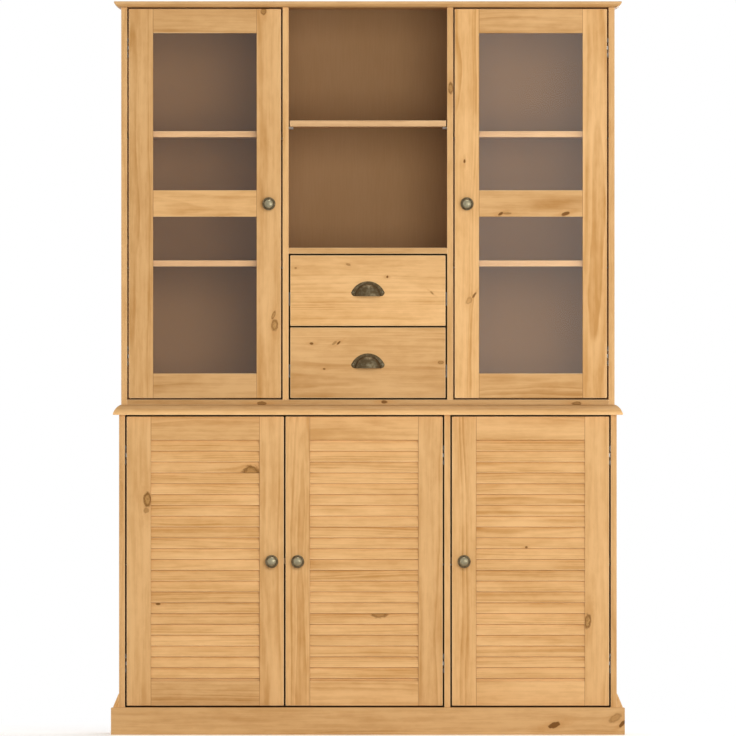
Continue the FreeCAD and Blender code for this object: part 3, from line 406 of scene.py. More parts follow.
def make_grain_group():
    """Growth rings, fibres and broad streaks of a board sawn from a log."""
    given, wanted = new_group(
        "Pine Grain",
        {"Grain": "Vector", "Heart": "Vector", "Seed": "Float", "Shift": "Float", "Spacing": "Float"},
        {"Rings": "Float", "Fibre": "Float", "Streak": "Float", "Cloud": "Float"})
    seed = given["Seed"]

    def wander(years, seed_step, pace, detail):
        """A slow random value that changes over the years."""
        values = {"W": times(seed, seed_step, times(years, pace)), "Scale": 1, "Detail": detail}
        return follow("TexNoise", values, noise_dimensions="1D")["Fac"]

    away = vector_of(*(times(seed, step) for step in (37, 61, 17)))
    flowing = vector_maths("ADD", given["Grain"], vector_of(y=given["Shift"]))
    place = vector_maths("ADD", flowing, away)
    drift = maths("SUBTRACT", noise(place, (1.1, 5, 5)), 0.5)
    ripple = maths("SUBTRACT", noise(place, (6, 22, 22)), 0.5)
    inward = parts_of(vector_maths("SUBTRACT", flowing, given["Heart"]))
    reach = maths("SQRT", maths("ADD", maths("POWER", inward[1], 2), maths("POWER", inward[2], 2)))
    reach = times(ripple, 0.005, times(drift, 0.05, reach))
    years = maths("DIVIDE", reach, given["Spacing"])
    years = times(wander(years, 83, 0.37, 1), 2.4, years)
    mood = wander(years, 57, 0.47, 2)
    year = maths("FRACT", years)
    rings = times(spread(year, 0.05, 0.80), spread(year, 0.80, 1, 1, 0))
    feed(wanted["Rings"], times(rings, spread(mood, 0.38, 0.62, 0.05, 1)))
    feed(wanted["Fibre"], noise(place, (11, 520, 520), 3, 0.65))
    feed(wanted["Streak"], times(noise(place, (4, 84, 84), 3, 0.6), 0.62,
                                 times(noise(place, (24, 66, 66), 3, 0.6), 0.38)))
    feed(wanted["Cloud"], noise(place, (3, 9, 9), 3, 0.55))


def make_knot_group():
    """One knot: it pushes the grain aside and darkens towards its rim."""
    found = {"Shift": "Float", "Core": "Float", "Rim": "Float", "Halo": "Float"}
    given, wanted = new_group(
        "Pine Knot",
        {"Grain": "Vector", "Along": "Float", "Across": "Float", "Radius": "Float", "Dark": "Float",
         "Long": "Float", "Filled": "Float", "Lean": "Float", **found}, found)
    place = parts_of(given["Grain"])
    passed = maths("SUBTRACT", place[0], given["Along"])
    along = maths("DIVIDE", passed, given["Long"])
    across = maths("SUBTRACT", maths("SUBTRACT", place[1], given["Across"]), times(passed, given["Lean"]))
    wobble = maths("SUBTRACT", noise(given["Grain"], (110, 150, 20), 3, 0.6), 0.5)

    def distance(stretch):
        """How many half-widths away a point is, with the knot drawn out along the grain."""
        squares = maths("ADD", maths("POWER", times(along, stretch), 2), maths("POWER", across, 2))
        return maths("DIVIDE", maths("SQRT", squares), given["Radius"])

    heart = noise(given["Grain"], (210, 330, 20), 3, 0.6)
    near = times(wobble, 0.9, distance(1))
    core = spread(near, 0.80, 1.20, 1, 0)
    ring = times(spread(near, 0.40, 0.85), spread(heart, 0.25, 0.6, 0.6, 1))
    ring = maths("MAXIMUM", ring, times(spread(heart, 0.48, 0.62), 0.65))
    ring = maths("MAXIMUM", ring, given["Filled"])
    rim = times(ring, spread(near, 0.95, 1.40, 1, 0))
    halo = spread(times(wobble, 1.6, distance(0.42)), 0.5, 2.6, 1, 0)
    apart = maths("POWER", maths("MAXIMUM", distance(0.85), 0.1), 2)
    pushed = maths("MINIMUM", maths("DIVIDE", 1, apart), 1)
    feed(wanted["Shift"], times(times(across, pushed), -0.9, given["Shift"]))
    for label, mask in (("Core", core), ("Rim", rim), ("Halo", halo)):
        feed(wanted[label], maths("MAXIMUM", times(mask, given["Dark"]), given[label]))


def make_speck_group():
    """Small marks scattered thinly over a face, such as pin knots or pits."""
    given, wanted = new_group("Specks", {"Place": "Vector", "Size": "Float", "Share": "Float"},
                              {"Specks": "Float"})
    cells = follow("TexVoronoi", {"Vector": given["Place"], "Scale": 1}, feature="F1")
    chance = follow("SeparateColor", {0: cells["Color"]})[0]
    feed(wanted["Specks"], times(maths("LESS_THAN", chance, given["Share"]),
                                 spread(cells["Distance"], 0, given["Size"], 1, 0)))


def make_mottle_group():
    """Cloudy patches over finer ones, for metal that has aged unevenly."""
    given, wanted = new_group("Mottle", {"Place": "Vector"}, {"Patches": "Float", "Grit": "Float"})
    feed(wanted["Patches"], spread(noise(given["Place"], (95, 95, 95), 4, 0.6)))
    feed(wanted["Grit"], noise(given["Place"], (900, 900, 900), 3, 0.6))


def specks(place, stretch, size, part):
    """Marks of a size in a part of the cells that a stretched place falls into."""
    stretched = vector_maths("MULTIPLY", place, stretch)
    return use_group("Specks", {"Place": stretched, "Size": size, "Share": part})["Specks"]


def new_material(name):
    """An empty material's tree and main shader."""
    material = bpy.data.materials.new(name)
    material.use_nodes = True
    return material.node_tree, material.node_tree.nodes["Principled BSDF"]


def set_shader(shader, **values):
    """Values and links of a shader's own sockets, named with underscores for spaces."""
    for name, value in values.items():
        feed(shader.inputs[name.replace("_", " ")], value)


def pine(name, knots=(), level=False, narrow=False, wash=0):
    """Oiled honey pine; its knots are given in millimetres for grain that runs up or across."""
    wood = bpy.context.scene.cabinet_wood
    tree, shader = new_material(name)
    grain = attribute(tree, "grain")["Vector"]
    seed, tone_and_shade, spacing = parts_of(attribute(tree, "board")["Vector"])
    masks = {"Shift": 0, "Core": 0, "Rim": 0, "Halo": 0}
    place = grain
    if narrow:
        turned = parts_of(grain)
        place = vector_of(turned[0], turned[2], turned[1])
    for x, z, radius, dark, long, filled, lean in knots:
        along, across = (x, z) if level else (z, x)
        found = use_group("Pine Knot", {
            "Grain": place, "Along": along / 1000, "Across": across / 1000, "Radius": radius / 1000,
            "Dark": dark, "Long": long, "Filled": filled, "Lean": lean, **masks})
        masks = {label: found[label] for label in masks}
    lines = use_group("Pine Grain", {
        "Grain": grain, "Heart": attribute(tree, "heart")["Vector"], "Seed": seed, "Shift": masks["Shift"],
        "Spacing": spread(spacing, 0, 1, wood.ring_spacing * 0.7, wood.ring_spacing * 1.35)})
    rings, fibre, streak, cloud = (lines[label] for label in ("Rings", "Fibre", "Streak", "Cloud"))
    depth = times(rings, spread(cloud, 0.25, 0.75, 0.14, 0.60))
    depth = times(spread(streak, 0.38, 0.66), 0.36, depth)
    depth = times(spread(cloud), 0.30, depth)
    depth = times(maths("SUBTRACT", fibre, 0.66), 0.36, depth, clamp=True)
    honey = blend(depth, list(wood.early_wood), list(wood.late_wood))
    # The board's tone, with the painted shade of leaning boards, scales the colour; below zero it darkens
    # further
    tone = times(maths("MINIMUM", tone_and_shade, 0), 0.6, spread(tone_and_shade, 0, 1, 0.80, 1.16))
    shade = vector_of(tone, maths("POWER", tone, 1.12), maths("POWER", tone, 1.30))
    honey = blend(wash, blend(1, honey, shade, "MULTIPLY"), SHADES["washed pine"])
    edge = attribute(tree, "edge")["Fac"]
    pins = specks(grain, (9, 13, 5), 0.045, 0.16)
    # Pale painted highlight on rounded edges, where light would catch them, and dark seams at joints
    layers = [(edge, 0.42, SHADES["edge highlight"]), (edge, -0.8, SHADES["seam"])]
    if knots:
        layers += [(masks["Halo"], 0.38, SHADES["knot halo"]), (masks["Core"], 0.9, SHADES["knot core"]),
                   (masks["Rim"], 0.92, list(wood.knot))]
    for mask, strength, layer in layers + [(pins, 0.55, SHADES["pin knot"])]:
        honey = blend(times(mask, strength, clamp=True), honey, layer)
    height = times(fibre, 0.5, times(rings, 0.5))
    set_shader(shader, Base_Color=honey, Roughness=spread(rings, 0, 1, 0.52, 0.44),
               Specular_IOR_Level=0.35, Normal=raised(height, 0.00012, 0.7))


def brown_board():
    """Brown fibreboard with a faint printed fibre, used for backs and drawer bottoms."""
    wood = bpy.context.scene.cabinet_wood
    tree, shader = new_material("Back Panel Brown")
    place = own_place(tree)
    fibre = noise(place, (260, 260, 16), 3, 0.6)
    cloud = noise(place, (5, 5, 3), 3)
    depth = times(spread(fibre), 0.30, times(spread(cloud), 0.35), clamp=True)
    brown = blend(depth, list(wood.back_panel), list(wood.back_fibre))
    marks = times(specks(place, (140, 140, 90), 0.28, 0.25), 0.05)
    set_shader(shader, Base_Color=blend(marks, brown, SHADES["board speck"]),
               Roughness=spread(cloud, 0.3, 0.7, 0.62, 0.72), Specular_IOR_Level=0.25,
               Normal=raised(fibre, 0.00003, 0.5))


def clear_glass():
    """Clear, faintly warm pane glass that lets lamp light through."""
    tree, shader = new_material("Pane Glass")
    haze = noise(own_place(tree), (14, 14, 14))
    set_shader(shader, Base_Color=blend(haze, SHADES["glass"], SHADES["glass haze"]), IOR=1.34,
               Transmission_Weight=1, Roughness=0)
    through = add_node(tree, "BsdfTransparent", {"Color": SHADES["light through glass"]}).outputs[0]
    mix_shaders(add_node(tree, "LightPath").outputs["Is Shadow Ray"], shader.outputs[0], through)


def antique_metal():
    """Antiqued brass: rubbed pale where it stands out, dark brown in its grooves; a pull's pale crown is
    also a painted highlight.
    """
    metal = bpy.context.scene.cabinet_metal
    tree, shader = new_material("Antique Metal")
    aging = use_group("Mottle", {"Place": own_place(tree)})
    patches = maths("SUBTRACT", aging["Patches"], 0.5)
    wear_and_highlight = times(patches, 0.45, attribute(tree, "rub")["Fac"], clamp=True)
    finish = blend(wear_and_highlight, list(metal.aged), list(metal.wear_and_highlight))
    finish = blend(times(aging["Grit"], 0.30), finish, SHADES["tarnish"])
    pits = times(aging["Grit"], 0.6, times(aging["Patches"], 0.4))
    set_shader(shader, Base_Color=finish, Metallic=0.75, Roughness=spread(wear_and_highlight, 0, 1, 0.46, 0.31),
               Normal=raised(pits, 0.0002, 0.6))


def zinc_steel():
    """Zinc-plated steel with fine crystals and brushed lines."""
    metal = bpy.context.scene.cabinet_metal
    tree, shader = new_material("Zinc Steel")
    place = own_place(tree)
    patches = use_group("Mottle", {"Place": place})["Patches"]
    brushed = noise(place, (60, 900, 900))
    bright = blend(times(patches, 0.4), list(metal.zinc), SHADES["dull zinc"])
    set_shader(shader, Base_Color=bright, Metallic=0.9, Roughness=spread(patches, 0, 1, 0.30, 0.42),
               Normal=raised(brushed, 0.00005, 0.4))


def beech():
    """Pale beech for dowels, with short flecks."""
    tree, shader = new_material("Beech Dowel")
    place = own_place(tree)
    fibre = noise(place, (400, 400, 60), 3)
    wood = blend(spread(fibre), SHADES["beech"], SHADES["beech fibre"])
    flecks = times(specks(place, (900, 900, 240), 0.35, 0.4), 0.4)
    set_shader(shader, Base_Color=blend(flecks, wood, SHADES["beech fleck"]),
               Roughness=spread(fibre, 0.3, 0.7, 0.55, 0.68), Normal=raised(fibre, 0.0001, 0.5))


# Shaping

def solids_of(mesh):
    """Triangles of a mesh, parted into closed solids."""
    corner = [vertex.co.to_tuple(6) for vertex in mesh.vertices]
    solids, current, open_edges = [], [], set()
    for triangle in mesh.polygons:
        current.append(triangle.index)
        ends = [corner[index] for index in triangle.vertices]
        for edge in zip(ends, ends[1:] + ends[:1]):
            if edge[::-1] in open_edges:
                open_edges.remove(edge[::-1])
            else:
                open_edges.add(edge)
        if not open_edges:
            solids.append(current)
            current = []
    return solids + [current] if current else solids


def merged_copy(node):
    """A node's mesh with each solid's corners merged and its flat faces made whole."""
    work = bmesh.new()
    work.from_mesh(NODES[node].data)
    work.faces.ensure_lookup_table()
    for solid in solids_of(NODES[node].data):
        corners = dict.fromkeys(
            vertex for index in solid for vertex in work.faces[index].verts if vertex.is_valid)
        bmesh.ops.remove_doubles(work, verts=list(corners), dist=SAME_CORNER)
        work.faces.ensure_lookup_table()
    bmesh.ops.dissolve_limit(work, angle_limit=math.radians(FLAT_BEND), verts=work.verts, edges=work.edges)
    return work


def islands(work):
    """The vertices of each separate solid, from left to right and then from the lowest up."""
    reached, found = set(), []
    for start in work.verts:
        if start in reached:
            continue
        reached.add(start)
        island = [start]
        for here in island:
            for edge in here.link_edges:
                there = edge.other_vert(here)
                if there not in reached:
                    reached.add(there)
                    island.append(there)
        found.append(island)

    def corner(island):
        """The least corner of a solid, to the millimetre."""
        return [round(min(vertex.co[axis] for vertex in island), 3) for axis in (0, 2, 1)]

    return sorted(found, key=corner)


def cut(work, place, normal, near=SAME_CUT, **sides):
    """Cut everything along a plane."""
    everything = list(work.verts) + list(work.edges) + list(work.faces)
    bmesh.ops.bisect_plane(work, geom=everything, dist=near, plane_co=place, plane_no=normal, **sides)


def round_off(work, edges, ease, segments=3, clamp=False):
    """Round some edges; returns the faces that this makes."""
    return bmesh.ops.bevel(work, geom=edges, offset=ease, offset_type="OFFSET", affect="EDGES", material=-1,
                           segments=segments, profile=0.5, clamp_overlap=clamp)["faces"]


def pour(part, work):
    """Add a part to the piece that is being made."""
    mesh = bpy.data.meshes.new("part")
    part.to_mesh(mesh)
    part.free()
    work.from_mesh(mesh)
    bpy.data.meshes.remove(mesh)


def ease_edges(work, ease, segments, joints=()):
    """Round the long outer edges and mark them for a pale painted highlight; those at a joint stay sharp,
    with a fine seam.
    """
    edge_highlight_and_seam = work.verts.layers.float.new("edge")
    edges = [edge for edge in work.edges
             if edge.is_manifold and edge.is_convex and edge.calc_length() > 5 * ease
             and edge.calc_face_angle() > math.radians(ROUNDED_BEND)
             and not any(all(abs(vertex.co.x - joint) < AT_JOINT for vertex in edge.verts)
                         for joint in joints)]
    eased = set(round_off(work, edges, ease, segments, clamp=True))
    # Vertices on the rounded faces get 1, for the painted highlight; those at a joint get -1, for the seam
    for vertex in work.verts:
        if vertex.link_faces and all(face in eased for face in vertex.link_faces):
            vertex[edge_highlight_and_seam] = 1
    for joint in joints:
        for side in (-SEAM, SEAM):
            cut(work, (joint + side, 0, 0), (1, 0, 0), SAME_POINT)
        for vertex in work.verts:
            if abs(vertex.co.x - joint) < AT_JOINT:
                vertex[edge_highlight_and_seam] = -1


def lay_grain(work, name, level_row=False):
    """Run the grain along each board, with its own heart and tone; returns each board's foot and shift."""
    layers = work.verts.layers.float_vector
    grain, heart, board = (layers.new(label) for label in ("grain", "heart", "board"))
    chance = random.Random(name)
    tones = TONES.get(name, [])
    row_seed, row_offset = chance.random(), (chance.uniform(-0.05, 0.05), chance.uniform(0.03, 0.06))
    steps = []
    everything = list(work.verts)
    for number, island in enumerate(islands(work)):
        owner = everything if level_row else island
        low = Vector([min(v.co[axis] for v in owner) for axis in range(3)])
        high = Vector([max(v.co[axis] for v in owner) for axis in range(3)])
        size, middle = high - low, (low + high) / 2
        axes = (0, 2, 1) if level_row else sorted(range(3), key=lambda axis: -size[axis])
        seed = chance.random()
        offset = chance.uniform(-0.5, 0.5) * size[axes[1]], chance.uniform(0.02, 0.07)
        tone = tones[min(number, len(tones) - 1)] if tones else PLAIN_TONE + TONE_RANGE * chance.random()
        step = 0
        if level_row:
            seed, offset, step = row_seed, row_offset, SLAT_STEP * number
            tone += chance.uniform(-SLAT_TONE_RANGE, SLAT_TONE_RANGE)
        # Leaning boards change lightness from foot to top, as painted shade on the worktop and the cornice
        foot, lean = min(vertex.co.z for vertex in island), TONE_AND_SHADE_LEANS.get(name, 0) / max(size.z, 0.001)
        steps.append((foot, step))
        spacing = chance.random()
        for vertex in island:
            vertex[grain] = [vertex.co[axis] for axis in axes]
            vertex[grain].y += step
            vertex[heart] = (0, middle[axes[1]] + step + offset[0], middle[axes[2]] + offset[1])
            vertex[board] = (seed, tone + lean * (vertex.co.z - foot - size.z / 2), spacing)
    return steps


def new_object(name, data):
    """A new object in the scene."""
    made = bpy.data.objects.new(name, data)
    bpy.context.scene.collection.objects.link(made)
    return made


def finish_piece(work, name, finish, body, replaced, smooth=38):
    """Turn a finished shape into a piece of the cabinet."""
    for edge in work.edges:
        edge.smooth = len(edge.link_faces) == 2 and edge.calc_face_angle(math.pi) < math.radians(smooth)
    for face in work.faces:
        face.smooth = True
    mesh = bpy.data.meshes.new(name)
    work.to_mesh(mesh)
    work.free()
    mesh.materials.append(bpy.data.materials[finish])
    piece = new_object(name, mesh)
    even = piece.modifiers.new("Even shading", "WEIGHTED_NORMAL")
    even.keep_sharp = True
    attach(piece, body)
    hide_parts(*replaced)


def body_of(node):
    """The body that a node rides on."""
    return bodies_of(NODES[node])[0]


def dress_board(node, ease, level_row=False, joints=()):
    """Stand an eased and grained pine piece in for a plain node."""
    work = merged_copy(node)
    ease_edges(work, ease, 3, joints)
    steps = lay_grain(work, node, level_row)
    knots = KNOTS.get(node, ())
    if level_row:
        knots = [(x, z + 1000 * max(step for foot, step in steps if foot * 1000 <= z), *rest)
                 for x, z, *rest in knots]
    finish = "Shelf Pine" if node == "loose_shelves" else "Honey Pine"
    if knots:
        finish = "Pine " + node.replace("_", " ").title()
        pine(finish, knots, not any(word in node for word in UPRIGHT_WORDS), node in EDGE_BOARDS)
    finish_piece(work, "pine_" + node, finish, body_of(node), [node])


def refinish(nodes, finish):
    """Give plain nodes a finish and leave their shapes alone."""
    for node in nodes:
        NODES[node].data.materials.clear()
        NODES[node].data.materials.append(bpy.data.materials[finish])


def curve_points(first, first_handle, second_handle, second, count):
    """Points of a smooth bend between two ends, without its last point."""
    flat = [Vector((*point, 0)) for point in (first, first_handle, second_handle, second)]
    return [(point.x, point.y) for point in interpolate_bezier(*flat, count + 1)[:-1]]


def add_screw(work, centre, radius, rise, facing, rub):
    """A domed and slotted screw head; it faces back with 1 and forward with -1."""
    head = bmesh.new()
    mark = head.verts.layers.float.new("rub")
    bmesh.ops.create_uvsphere(head, u_segments=24, v_segments=12, radius=radius)
    cut(head, (0, 0, 0), (0, 0, 1), clear_inner=True)
    for side in (SLOT_HALF_WIDTH, -SLOT_HALF_WIDTH):
        cut(head, (radius * side, 0, 0), (1, 0, 0))
    bmesh.ops.holes_fill(head, edges=[edge for edge in head.edges if edge.is_boundary])
    bmesh.ops.scale(head, verts=head.verts, vec=(1, 1, rise / radius))
    for vertex in head.verts:
        vertex[mark] = SCREW_RUB
        if abs(vertex.co.x) < radius * 0.1 and vertex.co.z > rise * 0.3:
            vertex.co.z -= rise * SLOT_DEPTH
            vertex[mark] = 0
    turn = Matrix.Rotation(-facing * math.pi / 2, 3, "X")
    bmesh.ops.rotate(head, verts=head.verts, cent=(0, 0, 0), matrix=turn)
    bmesh.ops.translate(head, verts=head.verts, vec=centre)
    bmesh.ops.recalc_face_normals(head, faces=head.faces)
    pour(head, work)


class CABINET_OT_finishes(bpy.types.Operator):
    """Build the shared effects and the finishes that every piece uses"""

    bl_idname = "cabinet.finishes"
    bl_label = "Finishes"

    def execute(self, context):
        for make in (make_grain_group, make_knot_group, make_speck_group, make_mottle_group, brown_board,
                     clear_glass, antique_metal, zinc_steel, beech):
            make()
        pine("Honey Pine")
        pine("Shelf Pine", wash=0.12)
        return {"FINISHED"}


class CABINET_OT_boards(bpy.types.Operator):
    """Make the fixed boards, the loose shelves and the dowels between them"""

    bl_idname = "cabinet.boards"
    bl_label = "Carcass boards"

    def execute(self, context):
        for node in ("base_side_left", "base_side_right", "base_divider", "base_bottom", "plinth_front",
                     "plinth_sides", "worktop", "hutch_side_left", "hutch_side_right", "hutch_dividers",
                     "hutch_floor", "drawer_shelf", "cornice", "loose_shelves"):
            dress_board(node, context.scene.cabinet_wood.board_ease)
        refinish(["joint_dowels"], "Beech Dowel")
        return {"FINISHED"}


class CABINET_OT_backs(bpy.types.Operator):
    """Finish the brown back panels and the drawer bottoms"""

    bl_idname = "cabinet.backs"
    bl_label = "Back panels"

    def execute(self, context):
        refinish(["hutch_back_panel", "base_back_panel", "upper_drawer_bottom", "lower_drawer_bottom"],
                 "Back Panel Brown")
        return {"FINISHED"}


class CABINET_OT_doors(bpy.types.Operator):
    """Make the frames of the five doors, the louvre slats and the glazing beads"""

    bl_idname = "cabinet.doors"
    bl_label = "Door frames and slats"

    def execute(self, context):
        ease = context.scene.cabinet_wood.door_ease
        for door in DOORS:
            low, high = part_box(f"{door}_rails")
            joints = (low.x + RAIL_TENON, high.x - RAIL_TENON)
            dress_board(f"{door}_stiles", ease, joints=joints)
            dress_board(f"{door}_rails", ease, joints=joints)
        for door in LOUVRED_DOORS:
            dress_board(f"{door}_slats", SLAT_EASE, level_row=True)
        for door in GLAZED_DOORS:
            dress_board(f"{door}_beads", INNER_EASE)
        return {"FINISHED"}


class CABINET_OT_panes(bpy.types.Operator):
    """Make the four panes with ground edges"""

    bl_idname = "cabinet.panes"
    bl_label = "Panes"

    def execute(self, context):
        for door in GLAZED_DOORS:
            work = merged_copy(f"{door}_panes")
            ease_edges(work, PANE_EASE, 2)
            finish_piece(work, f"{door}_glass", "Pane Glass", door, [f"{door}_panes"])
        return {"FINISHED"}


class CABINET_OT_drawers(bpy.types.Operator):
    """Make the drawer fronts and the boxes behind them"""

    bl_idname = "cabinet.drawers"
    bl_label = "Drawers"

    def execute(self, context):
        for drawer in DRAWERS:
            dress_board(f"{drawer}_front", context.scene.cabinet_wood.door_ease)
            dress_board(f"{drawer}_box", INNER_EASE)
        return {"FINISHED"}


class CABINET_OT_knobs(bpy.types.Operator):
    """Turn the five knobs, with a foot, a waist, a rim and a dome set in a groove"""

    bl_idname = "cabinet.knobs"
    bl_label = "Knobs"

    def execute(self, context):
        # Points of the outline: how far from the middle, and how far in front of the stile
        rim, dome = context.scene.cabinet_metal.knob_radius, context.scene.cabinet_metal.dome_radius
        profile = [(0, 0), (0.0098, 0), (0.0100, 0.0003), (0.0100, 0.0017), (0.0097, 0.0020)]
        profile += curve_points((0.0090, 0.0021), (0.0058, 0.0040), (0.0058, 0.0095), (0.0100, 0.0122), 10)
        profile += curve_points((0.0100, 0.0122), (0.0125, 0.0132), (rim - 0.0006, 0.0145), (rim, 0.0160), 6)
        lip, tip = (dome + 0.0016, 0.0212), (0, 0.0280)
        profile += curve_points((rim, 0.0160), (rim, 0.0185), (rim - 0.0010, 0.0203), lip, 8)
        profile += [lip, (dome + 0.0008, 0.0211), (dome + 0.0003, 0.0205), (dome - 0.0001, 0.0207)]
        profile += curve_points((dome - 0.0003, 0.0213), (dome - 0.0006, 0.0252), (0.0060, 0.0280), tip, 14)
        profile.append(tip)
        for door in DOORS:
            low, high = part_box(f"{door}_knob")
            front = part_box(f"{door}_stiles")[0].y
            centre = Vector(((low.x + high.x) / 2, front, (low.z + high.z) / 2))
            work = bmesh.new()
            points = [work.verts.new((radius, -out, 0)) for radius, out in profile]
            edges = [work.edges.new(pair) for pair in zip(points, points[1:])]
            bmesh.ops.spin(work, geom=points + edges, cent=(0, 0, 0), axis=(0, 1, 0), angle=math.tau,
                           steps=64, use_merge=True)
            bmesh.ops.remove_doubles(work, verts=work.verts, dist=SAME_POINT)
            bmesh.ops.recalc_face_normals(work, faces=work.faces)
            rub = work.verts.layers.float.new("rub")
            for vertex in work.verts:
                out, radius = -vertex.co.y, math.hypot(vertex.co.x, vertex.co.z)
                in_groove = out > 0.0204 and radius < dome + 0.0012
                vertex[rub] = DOME_RUB if out > 0.0212 else GROOVE_RUB if in_groove else RIM_RUB
            bmesh.ops.translate(work, verts=work.verts, vec=centre)
            add_screw(work, Vector((centre.x, front + 0.018, centre.z)), 0.0045, 0.0022, 1, rub)
            finish_piece(work, f"{door}_turned_knob", "Antique Metal", door,
                         [f"{door}_knob"], smooth=32)
        return {"FINISHED"}


class CABINET_OT_pulls(bpy.types.Operator):
    """Press the two cup pulls, each a hollow cup with a rolled lip on a bevelled flange"""

    bl_idname = "cabinet.pulls"
    bl_label = "Cup pulls"

    def execute(self, context):
        for drawer in DRAWERS:
            low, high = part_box(f"{drawer}_pull")
            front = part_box(f"{drawer}_front")[0].y
            base = Vector(((low.x + high.x) / 2, front, low.z))
            half, tall = (high.x - low.x) / 2, high.z - low.z
            reach, wide, deep = front - low.y, 0.0355, 0.034
            work = bmesh.new()
            # The flange: a flat foot, two round corners and a bow over them
            corner = 0.010
            bow = tall - corner
            radius = (half ** 2 + bow ** 2) / (2 * bow)
            opening = 2 * math.atan2(half, radius - bow)
            first = tip = work.verts.new((half - corner, 0, 0))
            for centre, angle, steps in (((half - corner, 0, corner), math.pi / 2, 10),
                                         ((0, 0, tall - radius), opening, 72),
                                         ((corner - half, 0, corner), math.pi / 2, 10)):
                turned = bmesh.ops.spin(work, geom=[tip], cent=centre, axis=(0, 1, 0), angle=-angle,
                                        steps=steps)["geom_last"]
                tip, = [item for item in turned if isinstance(item, bmesh.types.BMVert)]
            work.edges.new((tip, first))
            bmesh.ops.edgeloop_fill(work, edges=work.edges[:])
            sheet = bmesh.ops.extrude_face_region(work, geom=list(work.faces))
            lifted = [item for item in sheet["geom"] if isinstance(item, bmesh.types.BMVert)]
            bmesh.ops.translate(work, verts=lifted, vec=(0, -0.0015, 0))
            rim = [edge for edge in work.edges if all(vertex in lifted for vertex in edge.verts)]
            round_off(work, rim, 0.0007)
            # The cup, a quarter of a hollow egg that opens downwards
            cup = bmesh.new()
            bmesh.ops.create_uvsphere(cup, u_segments=72, v_segments=36, radius=1)
            for normal in ((0, 1, 0), (0, 0, -1)):
                cut(cup, (0, 0, 0), normal, clear_outer=True)
            bmesh.ops.scale(cup, verts=cup.verts, vec=(wide, reach - 0.001, deep))
            bmesh.ops.recalc_face_normals(cup, faces=cup.faces)
            if sum(face.normal.dot(face.calc_center_median()) for face in cup.faces) < 0:
                bmesh.ops.reverse_faces(cup, faces=cup.faces)
            bmesh.ops.solidify(cup, geom=cup.faces, thickness=0.0016)
            lip = [edge for edge in cup.edges if all(abs(vertex.co.z) < 0.0003 for vertex in edge.verts)
                   and edge.calc_face_angle(0) > math.radians(50) and edge.calc_length() < 0.01]
            round_off(cup, lip, 0.0006)
            pour(cup, work)
            # Rubbed spots: one high on the middle of the cup, also a painted highlight, and one low beside
            # it
            rub = work.verts.layers.float.new("rub")
            for vertex in work.verts:
                x, y, z = vertex.co
                crown = max(0, 1 - abs(z / deep - 0.84) * 5) * max(0, 1 - abs(x) / 0.014)
                belly = max(0, 1 - math.hypot((x - 0.004) / 0.017, (z - 0.007) / 0.012))
                vertex[rub] = 0 if -y < 0.0022 else PULL_RUB + CROWN_RUB_AND_HIGHLIGHT * crown + BELLY_RUB * belly
            bmesh.ops.translate(work, verts=work.verts, vec=base)
            for side in (-1, 1):
                place = base + Vector((side * (half - 0.006), -0.0014, 0.0105))
                add_screw(work, place, 0.0026, 0.0012, -1, rub)
            finish_piece(work, f"{drawer}_cup_pull", "Antique Metal", drawer,
                         [f"{drawer}_pull"], smooth=40)
        return {"FINISHED"}


class CABINET_OT_fittings(bpy.types.Operator):
    """Finish the concealed hinges, the drawer slides and the shelf pins"""

    bl_idname = "cabinet.fittings"
    bl_label = "Hinges, slides and pins"

    def execute(self, context):
        for node, ease in FITTING_EASES.items():
            work = merged_copy(node)
            ease_edges(work, ease, 2)
            finish_piece(work, "eased_" + node, "Zinc Steel", body_of(node), [node])
        refinish(["hinge_plates"] + [f"{door}_hinge_cups" for door in DOORS], "Zinc Steel")
        return {"FINISHED"}


def lamp(name, place, aim, size, power, warmth):
    """A soft square lamp that points at a place."""
    light = bpy.data.lights.new(name, "AREA")
    light.shape, light.size, light.energy, light.color = "SQUARE", size, power, warmth
    holder = new_object(name, light)
    holder.location = place
    holder.rotation_euler = (Vector(aim) - Vector(place)).to_track_quat("-Z", "Y").to_euler()
    return holder


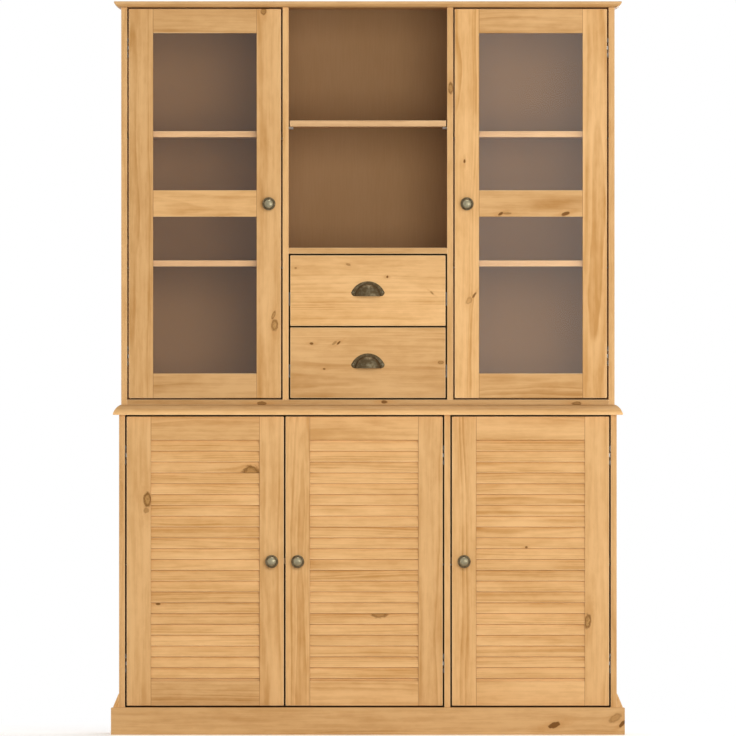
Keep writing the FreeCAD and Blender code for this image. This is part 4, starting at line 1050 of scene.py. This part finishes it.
class CABINET_OT_stage(bpy.types.Operator):
    """Set the camera, the pale floor, the lamps and the white surroundings"""

    bl_idname = "cabinet.stage"
    bl_label = "Stage"

    def execute(self, context):
        stage = context.scene.cabinet_stage
        camera = bpy.data.cameras.new("Camera")
        camera.lens, camera.sensor_width = stage.lens, 36
        camera.clip_start, camera.clip_end = 1, 300
        holder = new_object("Camera", camera)
        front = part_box("hutch_side_left")[0].y
        holder.location = (CAMERA_SHIFT, front - stage.distance, stage.centre_height)
        holder.rotation_euler = (math.pi / 2, 0, 0)
        context.scene.camera = holder
        self.make_floor(stage)
        self.make_lamps(stage)
        world = bpy.data.worlds.new("Surroundings")
        world.use_nodes = True
        context.scene.world = world
        tree = world.node_tree
        sky = tree.nodes["Background"].inputs
        feed(sky["Strength"], times(looked_at(tree), 1 - stage.ambient, stage.ambient))
        feed(sky["Color"], WHITE)
        context.scene.view_settings.view_transform = "Standard"
        return {"FINISHED"}

    def make_lamps(self, stage):
        """Lamps all around; the last two give no light of their own and only show as gleams."""
        middle, cool = (0, 0, 1), (0.99, 0.99, 1)
        key = lamp("Key", (0.6, -5.6, 1.7), middle, 3, stage.key, (1, 0.985, 0.96))
        key.visible_glossy = key.visible_transmission = False
        lamp("Fill", (2.05, -5, 1.5), (2.05, 0, 1.5), 3.6, stage.fill, (1, 0.99, 0.98))
        lamp("Side", (-4.2, 0.7, 1.8), middle, 2.5, stage.side, cool)
        lamp("Far side", (4.4, 0.9, 1.8), middle, 2.5, stage.side * 0.8, cool)
        lamp("Top", (0.3, 1.3, 4.6), (0, 0, 1.9), 2.2, stage.top, cool)
        lamp("Back", (1.4, 5, 2.4), middle, 3, stage.back, cool)
        gleam = lamp("Gleam", (0.4, -0.8, 4.4), (0, -0.2, 1), 0.7, stage.gleam, (1, 1, 1))
        glint = lamp("Glint", (3.6, -5, 1.2), middle, 0.9, stage.glint, (1, 0.98, 0.94))
        for mirrored in (gleam, glint):
            mirrored.visible_diffuse = mirrored.visible_transmission = False

    def make_floor(self, stage):
        """A round floor that fades into the white around it."""
        work = bmesh.new()
        bmesh.ops.create_circle(work, cap_ends=True, cap_tris=True, segments=96, radius=4.5)
        mesh = bpy.data.meshes.new("Floor")
        work.to_mesh(mesh)
        work.free()
        tree, shader = new_material("Plain Floor")
        place = own_place(tree)
        grain = noise(place, (3, 3, 3))
        tone = blend(spread(grain), list(stage.floor), SHADES["floor cloud"])
        seen = looked_at(tree)
        set_shader(shader, Base_Color=tone, Roughness=spread(grain, 0.3, 0.7, 0.75, 0.85),
                   Specular_IOR_Level=0.2, Emission_Color=WHITE, Emission_Strength=times(seen, 0.3))
        away = follow("VectorMath", {0: place}, operation="LENGTH")["Value"]
        fade = times(spread(away, 0.8, 2.2), seen)
        white = add_node(tree, "Emission", {"Color": WHITE, "Strength": 1}).outputs[0]
        mix_shaders(fade, shader.outputs[0], white)
        mesh.materials.append(bpy.data.materials["Plain Floor"])
        floor = new_object("Floor", mesh)


class CABINET_PT_pieces(bpy.types.Panel):
    """Pieces of the cabinet and the values that shape them"""

    bl_idname = "CABINET_PT_pieces"
    bl_label = "Buffet Cabinet"
    bl_space_type = "VIEW_3D"
    bl_region_type = "UI"
    bl_category = "Cabinet"

    def draw(self, context):
        for operator in OPERATORS:
            self.layout.operator(operator.bl_idname)
        for values in (context.scene.cabinet_wood, context.scene.cabinet_metal, context.scene.cabinet_stage):
            box = self.layout.box()
            for name in values.__annotations__:
                box.prop(values, name)


GROUPS = {"cabinet_wood": CabinetWood, "cabinet_metal": CabinetMetal, "cabinet_stage": CabinetStage}
OPERATORS = (CABINET_OT_finishes, CABINET_OT_boards, CABINET_OT_backs, CABINET_OT_doors, CABINET_OT_panes,
             CABINET_OT_drawers, CABINET_OT_knobs, CABINET_OT_pulls, CABINET_OT_fittings, CABINET_OT_stage)


def register():
    """Add the cabinet's values, operators and panel."""
    for name, group in GROUPS.items():
        bpy.utils.register_class(group)
        setattr(bpy.types.Scene, name, bpy.props.PointerProperty(type=group))
    for operator in OPERATORS:
        bpy.utils.register_class(operator)
    bpy.utils.register_class(CABINET_PT_pieces)


def unregister():
    """Take them away again."""
    bpy.utils.unregister_class(CABINET_PT_pieces)
    for operator in reversed(OPERATORS):
        bpy.utils.unregister_class(operator)
    for name, group in GROUPS.items():
        delattr(bpy.types.Scene, name)
        bpy.utils.unregister_class(group)


def main():
    """Make every piece in order."""
    register()
    for operator in OPERATORS:
        group, name = operator.bl_idname.split(".")
        getattr(getattr(bpy.ops, group), name)()


if __name__ == "__main__":
    main()
